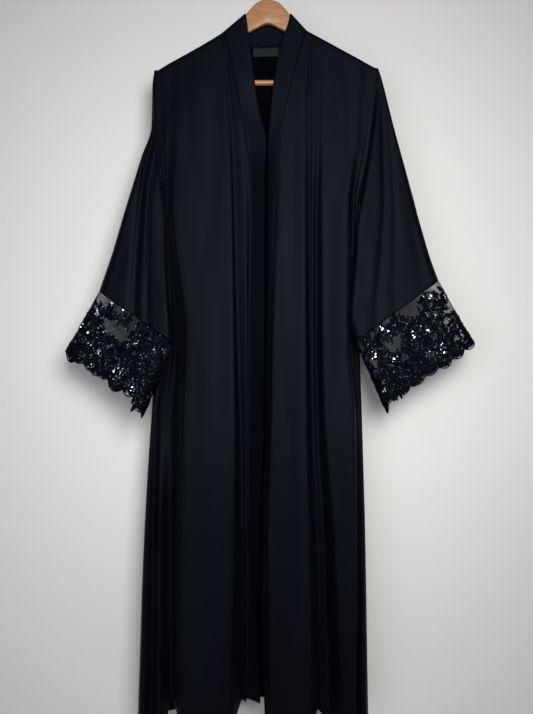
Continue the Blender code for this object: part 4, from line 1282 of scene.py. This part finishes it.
def add_flower(heap, trims, bed, place, size, rng):
    """Corded flower with a beaded heart and a row of sequins on some petals."""
    petals = rng.choice(PETAL_COUNTS)
    turn = rng.uniform(0, 2 * math.pi)
    for petal in range(petals):
        angle = turn + 2 * math.pi * petal / petals + rng.uniform(-0.12, 0.12)
        length = size * rng.uniform(0.85, 1.1)
        add_petal(heap, bed, place, angle, length, length * PETAL_SLIMNESS, 0.5, size * 0.12)
        if rng.random() < SEQUINNED_PETALS:
            for share in (0.35, 0.59, 0.83):
                trims.sequins.append((bed.stepped(place, angle, length * share), 1.3, 1.7))
    for side in range(HEART_BEADS):
        trims.beads.append((bed.stepped(place, turn + side, HEART_RADIUS), 1.0, 1.5))


def add_sprig(heap, trims, bed, place, length, rng):
    """Curved corded stem with leaves in pairs and a bead at its tip."""
    heading, bend = rng.uniform(0, 2 * math.pi), rng.uniform(-1.4, 1.4)
    places = [place]
    for step in range(SPRIG_STEPS):
        heading += bend / SPRIG_STEPS
        places.append(bed.stepped(places[-1], heading, length / SPRIG_STEPS))
        if step % 2 == 1:
            for side in (-1, 1):
                leaf = length * rng.uniform(0.26, 0.36)
                angle = heading + side * rng.uniform(0.6, 0.95)
                add_petal(heap, bed, places[-1], angle, leaf, leaf * 0.45, 0.9)
    add_cord(heap, bed, places, 0.55, 0.8)
    trims.beads.append((places[-1], 1.1, 1.2))


Trims = namedtuple("Trims", "sequins beads silver bugles")


def build_applique(rng, bed, side, trims):
    """Leaves, flowers, sprigs and corded edges of one cuff half."""
    threads = Heap()
    for w, v in jittered(rng, *LEAF_GRID, 0.42):
        if not in_sheer(bed, side.sheer, w, v, BARE_MARGIN):
            for _ in range(LEAVES_TOGETHER):
                length = rng.uniform(*LEAF_LENGTH)
                place = (w + rng.uniform(-3, 3) / bed.width,
                         min(v, 0.93) + rng.uniform(-3, 3) / bed.height)
                angle = rng.uniform(0, 2 * math.pi)
                add_petal(threads, bed, place, angle, length, length * PETAL_SLIMNESS, 0.35)
    for w, v in jittered(rng, *HEM_LEAF_GRID, 0.4):
        length = rng.uniform(*HEM_LEAF_LENGTH)
        add_petal(threads, bed, (w, 0.86 + 0.1 * v), rng.uniform(0, 2 * math.pi), length,
                  length * 0.55, 0.35)
    for w, v in jittered(rng, *FLOWER_GRID, 0.3):
        if not in_sheer(bed, side.sheer, w, v, 2 * BARE_MARGIN):
            add_flower(threads, trims, bed, (w, min(v, 0.86)), rng.uniform(*FLOWER_SIZE), rng)
    for w, v in jittered(rng, *SPRIG_GRID, 0.45):
        if not in_sheer(bed, side.sheer, w, v, 2 * BARE_MARGIN):
            add_sprig(threads, trims, bed, (w, min(v, 0.84)), rng.uniform(*SPRIG_LENGTH), rng)
    for v, radius in HEM_CORDS:
        add_cord(threads, bed, [(w, v) for w in np.linspace(0, 1, 240)], radius, 0.3)
    for w in SIDE_CORDS:
        add_cord(threads, bed, [(w, v) for v in np.linspace(0, 1, 80)], 0.6, 0.3)
    for scallop in side.scallops:
        centre = (scallop.start + scallop.end) / 2
        reach = (scallop.end - scallop.start) * bed.width / 2
        for step in range(5):
            angle = math.pi * (0.1 + 0.2 * step)
            add_petal(threads, bed, (centre, 0.90), angle, reach * 0.8, reach * 0.42, 0.9)
    for leaf in LOOSE_LEAVES:
        add_petal(threads, bed, (leaf.w, leaf.v), leaf.angle, leaf.length, leaf.width, 1.2,
                  drop=LEAF_DROP)
    return threads


def scatter_trims(rng, bed, patches, clusters, trims):
    """Sequins and beads all over the applique, bright groups of beads, and bugles."""
    for w, v in jittered(rng, *TRIM_GRID, 0.5):
        if not in_sheer(bed, patches, w, v) and v < LOWEST_TRIM:
            kind = rng.random()
            if kind < SEQUIN_SHARE:
                trims.sequins.append(((w, v), rng.uniform(1.4, 2.1), rng.uniform(1.6, 2.2)))
            elif kind < SEQUIN_SHARE + BEAD_SHARE:
                trims.beads.append(((w, v), rng.uniform(0.8, 1.3), rng.uniform(1.3, 1.9)))
            else:
                trims.silver.append(((w, v), rng.uniform(0.5, 0.9), rng.uniform(1.6, 2.1)))
    for cluster in clusters:
        for _ in range(2 * cluster.count):
            spot = (cluster.w + rng.gauss(0, cluster.spread) / bed.width,
                    min(cluster.v + rng.gauss(0, cluster.spread) / bed.height, LOWEST_TRIM))
            trims.silver.append((spot, rng.uniform(0.8, 1.5), 2.1))
    for _ in range(BUGLES):
        spot = (rng.uniform(0.08, 0.92), rng.uniform(0.1, 0.92))
        trims.bugles.append((spot, rng.uniform(0, math.pi), rng.uniform(5, 8)))


def build_lace_work(name, bed, side, clusters):
    """Applique, corded scallops, sequins and beads of one cuff half."""
    rng = random.Random(f"{SEED} {name}")
    trims = Trims([], [], [], [])
    threads = build_applique(rng, bed, side, trims)
    scatter_trims(rng, bed, side.sheer, clusters, trims)
    sequins, beads, silver = Heap(), Heap(), Heap()
    for sequin in trims.sequins:
        add_sequin(sequins, bed, *sequin, rng)
    for bead in trims.beads:
        add_bead(beads, bed, *bead)
    for stone in trims.silver:
        add_stone(silver, bed, *stone, rng)
    for place, angle, length in trims.bugles:
        add_bugle(beads, bed, place, angle, length, 0.8, 1.6)
    return [
        threads.piece(f"applique_{name}", "thread"),
        sequins.piece(f"sequins_{name}", "sequin", smooth=False),
        beads.piece(f"beads_{name}", "bead"),
        silver.piece(f"silver_beads_{name}", "silver", smooth=False),
    ]


def creased(surface, creases, facing):
    """Surface of a cuff half with its soft folds, which fade out at the seam with the sleeve."""
    def laid(u, v):
        points = surface(u, v)
        relief = crease_relief(points, creases) * ease(np.clip(v / 0.12, 0, 1))
        sides = ease(np.clip(np.minimum(u, 3 - u) - 0.9, 0, 1))
        points[..., 1] += facing * relief * sides
        points[..., 2] += through(*zip(*LACE_RISE), u / 3) * v**2
        return points

    return laid


def build_cuffs():
    for side in SIDES:
        for half, facing in (("front", -1.0), ("back", 1.0)):
            behind = half == "back"
            surface = cuff_surface(side.sleeve[-1], side.edge, side.grooves, side.scallops, behind)
            surface = creased(surface, side.cuff_creases, facing)
            points = grid_points(surface, stations(NET_CELLS), np.linspace(0, 1, NET_ROWS))
            piece = shell(f"net_{side.name}_{half}", points, NET_SHELL, LOOKS["net"])
            on_body(piece, f"cuff_{side.name}_{half}")
            clusters = () if behind else side.clusters
            bed = LaceBed(surface, facing)
            work = build_lace_work(f"{side.name}_{half}", bed, side, clusters)
            round(surface_area(points), 3)


# Building the pieces


def on_body(piece, node):
    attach(piece, "root")
    if node:
        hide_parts(node)


def dressed(points, creases, amount, seed, away=-1.0, ring=False):
    """Cloth points pushed along the cloth's outside by its wrinkles and slackness."""
    normals = grid_normals(points, ring)
    relief = crease_relief(points, creases) + slack(points, amount, seed)
    rows = np.linspace(0, 1, points.shape[0])[:, None]
    edge = ease(np.clip(rows / FLAT_EDGE_SHARE, 0, 1))
    if not ring:
        columns = np.linspace(0, 1, points.shape[1])[None, :]
        inside = np.minimum(columns, 1 - columns)
        edge = edge * ease(np.clip(inside / FLAT_EDGE_SHARE, 0, 1))
    facing = np.where(normals[..., 1:2] * away > 0, normals, -normals)
    return points + facing * (relief * edge)[..., None]


def hem_lifted(points, lifts):
    """Points near the hem drawn up where the hem is caught."""
    moved = points.copy()
    near = ease(np.clip((HEM_Z + HEM_LIFT_RISE - points[..., 2]) / HEM_LIFT_RISE, 0, 1))
    for lift in lifts:
        off = points[..., 0] - lift.x
        reach = np.where(off < 0, lift.outward, lift.inward)
        moved[..., 2] += lift.height * np.clip(1 - np.abs(off) / reach, 0, 1) ** 0.8 * near
    return moved


def sunk(points, sections, table):
    """Band points with the free edge laid further back than the seam."""
    depth = through(*zip(*table), points[..., 2])
    first = on_band(sections, "seam_x", points[..., 2])
    last = points[:, [BAND_FOLD_COLUMN], 0]
    share = np.clip((points[..., 0] - first) / np.where(last == first, 1, last - first), 0, 1)
    moved = points.copy()
    moved[..., 1] += depth * share
    return moved


def build_fronts():
    for side in SIDES:
        surface = front_surface(side.folds, side.band, side.side_x, side.shoulder, side.away)
        us = stations([8] + [FOLD_CELLS] * (len(side.folds) - 1) + [10])
        points = grid_points(surface, us, BODY_ROWS)
        points = dressed(points, side.creases, FRONT_SLACK, SEED + side.away)
        points = hem_lifted(points, HEM_LIFTS)
        piece = shell(f"cloth_front_{side.name}", points, CLOTH_SHELL, LOOKS["crepe"],
                      matt_shaded_side=LOOKS["crepe_inside_shaded"])
        on_body(piece, f"front_{side.name}")
        round(surface_area(points), 3)
        drops = -surface(np.zeros(len(BODY_ROWS)), BODY_ROWS)[:, 2]
        across = stations(BAND_CELLS)
        across[0] = -BAND_SEAM_LAP
        band = grid_points(band_surface(side.band, side.away), across, drops)
        band = hem_lifted(sunk(band, side.band, BAND_SINK[side.name]), HEM_LIFTS)
        strip = shell(f"cloth_band_{side.name}", band, BAND_SHELL, LOOKS["satin"])
        on_body(strip, f"band_{side.name}")
        round(surface_area(band), 3)


def tucked(points):
    """The back's side edges carried a little behind the fronts', so no light shows between."""
    edges = points[:, [0, -1]].copy()
    edges[..., 0] -= np.sign(edges[..., 0]) * SIDE_TUCK_INSET
    edges[..., 1] -= SIDE_TUCK
    return np.concatenate([edges[:, :1], points, edges[:, 1:]], axis=1)


def build_back():
    us = stations([10] + [9] * (len(BACK_FOLDS) - 1) + [10])
    points = grid_points(back_surface, us, BODY_ROWS)
    points = dressed(points, BACK_CREASES, BACK_SLACK, SEED + 5, 1.0)
    points = hem_lifted(points, BACK_HEM_LIFTS)
    area = round(surface_area(points), 3)
    piece = shell("cloth_back", tucked(points), CLOTH_SHELL, LOOKS["crepe"],
                  matt_shaded_side=LOOKS["crepe_inside_shaded"], facing=1.0)
    on_body(piece, "back_panel")


def build_neck():
    end = NECK_END_SHARE
    across = np.concatenate([np.linspace(0, end, NECK_END_COLUMNS)[:-1],
                             np.linspace(end, 1 - end, NECK_COLUMNS),
                             np.linspace(1 - end, 1, NECK_END_COLUMNS)[1:]])
    down = np.linspace(0, 1 + NECK_BAND_LAP, NECK_ROWS)
    points = grid_points(neck_band_surface, across, down)
    points[-2:, :, 1] -= NECK_BAND_LAP_SINK
    piece = shell("cloth_band_back_neck", points, BAND_SHELL, LOOKS["satin"])
    on_body(piece, "band_back_neck")
    round(surface_area(points), 4)
    across, down = (np.linspace(0, 1, count) for count in LABEL_GRID)
    tag = grid_points(label_surface, across, down)
    label = shell("woven_label", tag, LABEL_SHELL, LOOKS["ribbon"])
    on_body(label, "label")


def lapped(points, away):
    """The sleeve's head carried a little into the armhole, so no light passes at the seam."""
    head = points[:1].copy()
    middle = head[..., 1].mean()
    head[..., 0] -= away * ARMHOLE_LAP
    head[..., 1] = middle + (head[..., 1] - middle) * ARMHOLE_LAP_NARROWING
    top, bottom = head[..., 2].max(), head[..., 2].min()
    head[..., 2] -= ARMHOLE_LAP_DROP * ((top - head[..., 2]) / (top - bottom)) ** 4
    return np.concatenate([head, points])


def build_sleeves():
    for side in SIDES:
        surface = sleeve_surface(side.sleeve, side.grooves, side.side_x, side.away)
        down = np.linspace(0, len(side.sleeve) - 1, SLEEVE_ROWS)
        grid = grid_points(surface, stations(SLEEVE_CELLS), down)
        seed = SEED + 20 + side.away
        points = dressed(grid, side.sleeve_creases, SLEEVE_SLACK, seed, -1.0, ring=True)
        points[-1] = grid[-1]
        area = round(surface_area(points), 3)
        piece = shell(f"cloth_sleeve_{side.name}", lapped(points, side.away), CLOTH_SHELL,
                      LOOKS["crepe"], ring=True)
        on_body(piece, f"sleeve_{side.name}")


# Hanger


def smooth_line(points, steps):
    """Rounded line through points, by Catmull and Rom's rule."""
    points = [np.array(point, float) for point in points]
    padded = [2 * points[0] - points[1]] + points + [2 * points[-1] - points[-2]]
    line = [points[0]]
    for p0, p1, p2, p3 in zip(padded, padded[1:], padded[2:], padded[3:]):
        for step in range(1, steps + 1):
            t = step / steps
            line.append(0.5 * (2 * p1 + (p2 - p0) * t + (2 * p0 - 5 * p1 + 4 * p2 - p3) * t**2
                               + (3 * p1 - p0 - 3 * p2 + p3) * t**3))
    return line


def tube(name, points, radius, sides, look):
    """Round bar along a line, with flat ends."""
    points = [Vector(point) for point in points]
    rings, turned = [], None
    for place, point in enumerate(points):
        before, after = points[max(place - 1, 0)], points[min(place + 1, len(points) - 1)]
        along = (after - before).normalized()
        turned = along.orthogonal() if turned is None else turned - along * turned.dot(along)
        turned.normalize()
        rings += ring_points(point, turned, along.cross(turned), radius, sides)
    piece = mesh_object(name, rings, bar_faces(len(points), sides), LOOKS[look])
    piece.data.set_sharp_from_angle(angle=math.radians(50))
    return piece


def wood_outline():
    """Half outline of the hanger at -X, from the crown over the arm and back to the notch."""
    crown = [(0, WOOD_TOP_Z), (-13, -72), (-25, -78.5), (-35, -88.5), (-44.5, -100.5)]
    neck = [(-55, -116.5), (-66, -129), (-78, -136.5), (-90, -141.6)]
    top = smooth_line([(13, -72)] + crown + neck + [(-102, -147.6)], 5)[5:-5]
    end = smooth_line([(-214, -210.8), (-221, -221), (-223, -230), (-220, -240), (-212, -247),
                       (-BAR_HALF_LENGTH, -248)], 4)
    under = [(-BAR_HALF_LENGTH, -229), (-186, -221), (-90, -163.5), (-8, -121.6), (0, -119.4)]
    return [tuple(point) for point in top + end] + under


def build_arch():
    half = wood_outline()
    outline = half + [(-x, z) for x, z in reversed(half[1:-1])]
    count = len(outline)
    points = [(x, y, z) for y in (-WOOD_THICK / 2, WOOD_THICK / 2) for x, z in outline]
    faces = [tuple(range(count)), tuple(reversed(range(count, 2 * count)))]
    for a in range(count):
        b = (a + 1) % count
        faces.append((b, a, a + count, b + count))
    arch = mesh_object("wood_arch", points, faces, LOOKS["wood"])
    bevel = arch.modifiers.new("rounded edges", "BEVEL")
    bevel.width = WOOD_EDGE_ROUND * MM
    bevel.segments = 5
    bevel.limit_method = "ANGLE"
    bevel.angle_limit = math.radians(60)
    bevel.harden_normals = False
    on_body(arch, "hanger_wood")


def build_hanger():
    build_arch()
    end = BAR_HALF_LENGTH - SEAM_GAP
    bar_line = [(-end + 2 * end * step / BAR_STEPS, 0, BAR_Z) for step in range(BAR_STEPS + 1)]
    bar = tube("wood_bar", bar_line, BAR_DIAMETER / 2, 40, "bar")
    on_body(bar, "hanger_bar")
    radius = HOOK_INSIDE_RADIUS + HOOK_WIRE / 2
    foot = WOOD_TOP_Z + SEAM_GAP
    loop = []
    for step in range(HOOK_STEPS + 1):
        angle = between(HOOK_START, HOOK_STOP, step / HOOK_STEPS)
        loop.append((radius * math.cos(angle), 0, -HOOK_INSIDE_RADIUS + radius * math.sin(angle)))
    bend = [(0, 0, foot), (0, 0, foot + 7), (1.2, 0, foot + 13)]
    bend.append((loop[0][0] * 0.42, 0, between(foot + 13, loop[0][2], 0.5)))
    hook = tube("wire_hook", smooth_line(bend + loop, 5), HOOK_WIRE / 2, 20, "steel")
    on_body(hook, "hanger_hook")
    head = -WOOD_THICK / 2 - SCREW_HEAD_STANDS
    screw_line = [(0, head, SCREW_Z), (0, SCREW_FOOT_Y, SCREW_Z)]
    screw = tube("hook_screw", screw_line, SCREW_RADIUS, 20, "steel")
    on_body(screw, None)


# Stage, lights and camera


def plane(name, corners, material):
    piece = mesh_object(name, corners, [(0, 1, 2, 3)], material)


def area_light(name, place, target, width, height, power, colour):
    light = bpy.data.lights.new(name, "AREA")
    light.shape = "RECTANGLE"
    light.size, light.size_y = width, height
    light.energy = power
    light.color = colour
    light.spread = LIGHT_SPREAD
    lamp = bpy.data.objects.new(name, light)
    lamp.location = place
    aim = Vector(target) - Vector(place)
    lamp.rotation_euler = aim.to_track_quat("-Z", "Y").to_euler()
    bpy.context.scene.collection.objects.link(lamp)


def build_stage():
    # The wall's colours: the paler one where the painted pool of light is, the darker one towards the
    # corners as painted shade
    wall = stage_look("pale_wall", (0.648, 0.648, 0.642), (0.548, 0.548, 0.543), True)
    floor = stage_look("pale_floor", (0.66, 0.66, 0.65), (0.70, 0.70, 0.69), False)
    x, y, low, top = WALL_HALF_WIDTH, WALL_Y, FLOOR_Z, WALL_TOP
    plane("wall", [(-x, y, low), (x, y, low), (x, y, top), (-x, y, top)], wall)
    plane("floor", [(-x, -x, low), (x, -x, low), (x, x, low), (-x, x, low)], floor)
    scene = bpy.context.scene
    world = bpy.data.worlds.new("studio")
    world.use_nodes = True
    sky = world.node_tree.nodes["Background"]
    sky.inputs["Color"].default_value = (0.94, 0.96, 1.0, 1)
    sky.inputs["Strength"].default_value = WORLD_STRENGTH
    scene.world = world
    for light in LIGHTS:
        area_light(*light)
    camera = bpy.data.cameras.new("camera")
    camera.lens = SENSOR_WIDTH * CAMERA_DISTANCE / FRAME_HEIGHT
    camera.sensor_width = SENSOR_WIDTH
    viewer = bpy.data.objects.new("camera", camera)
    viewer.location = (CAMERA_X, PICTURE_Y - CAMERA_DISTANCE, CAMERA_Z)
    viewer.rotation_euler = (math.radians(90), 0, 0)
    scene.collection.objects.link(viewer)
    scene.camera = viewer
    scene.view_settings.view_transform = "Standard"


def build():
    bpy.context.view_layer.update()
    build_back()
    build_fronts()
    build_neck()
    build_sleeves()
    build_cuffs()
    build_hanger()
    build_stage()


LOOKS = {
    "crepe": cloth_look("black_crepe", (0.0010, 0.0012, 0.0021), (0.0017, 0.0021, 0.0037),
                        0.51, 0.057, 0.006, (0.56, 0.65, 1.0), 0.0006, 0.3),
    # The crepe's matt reverse: less specular, as the real reverse is, and a darker base colour, which is
    # painted shade for the inside of the garment
    "crepe_inside_shaded": cloth_look("matt_crepe", (0.0008, 0.0009, 0.0014), (0.0014, 0.0016, 0.0024),
                               0.8, 0.004, 0.004, (0.6, 0.7, 1.0), 0.0006, 0.3),
    "satin": cloth_look("satin_band", (0.0010, 0.0013, 0.0026), (0.0015, 0.0020, 0.0040),
                        0.45, 0.050, 0.004, (0.56, 0.62, 1.0), 0.0004, 0.15),
    "net": net_look("black_net", (0.010, 0.014, 0.027), 0.0015, 0.00013),
    "thread": thread_look("applique_thread", (0.0013, 0.0014, 0.0028), 0.48, 0.032,
                          (0.46, 0.58, 1.0)),
    "sequin": gloss_look("black_sequin", (0.001, 0.001, 0.002), (0.004, 0.004, 0.007), 0.12),
    "bead": gloss_look("black_bead", (0.001, 0.001, 0.002), (0.003, 0.003, 0.006), 0.12),
    "silver": gloss_look("silver_stone", (0.46, 0.52, 0.66), (0.78, 0.84, 0.96), 0.16, 1.0),
    "ribbon": label_look(),
    "wood": wood_look("honey_wood", (26, 60, 190)),
    "bar": wood_look("honey_wood_bar", (18, 170, 170)),
    "steel": steel_look(),
}
build()
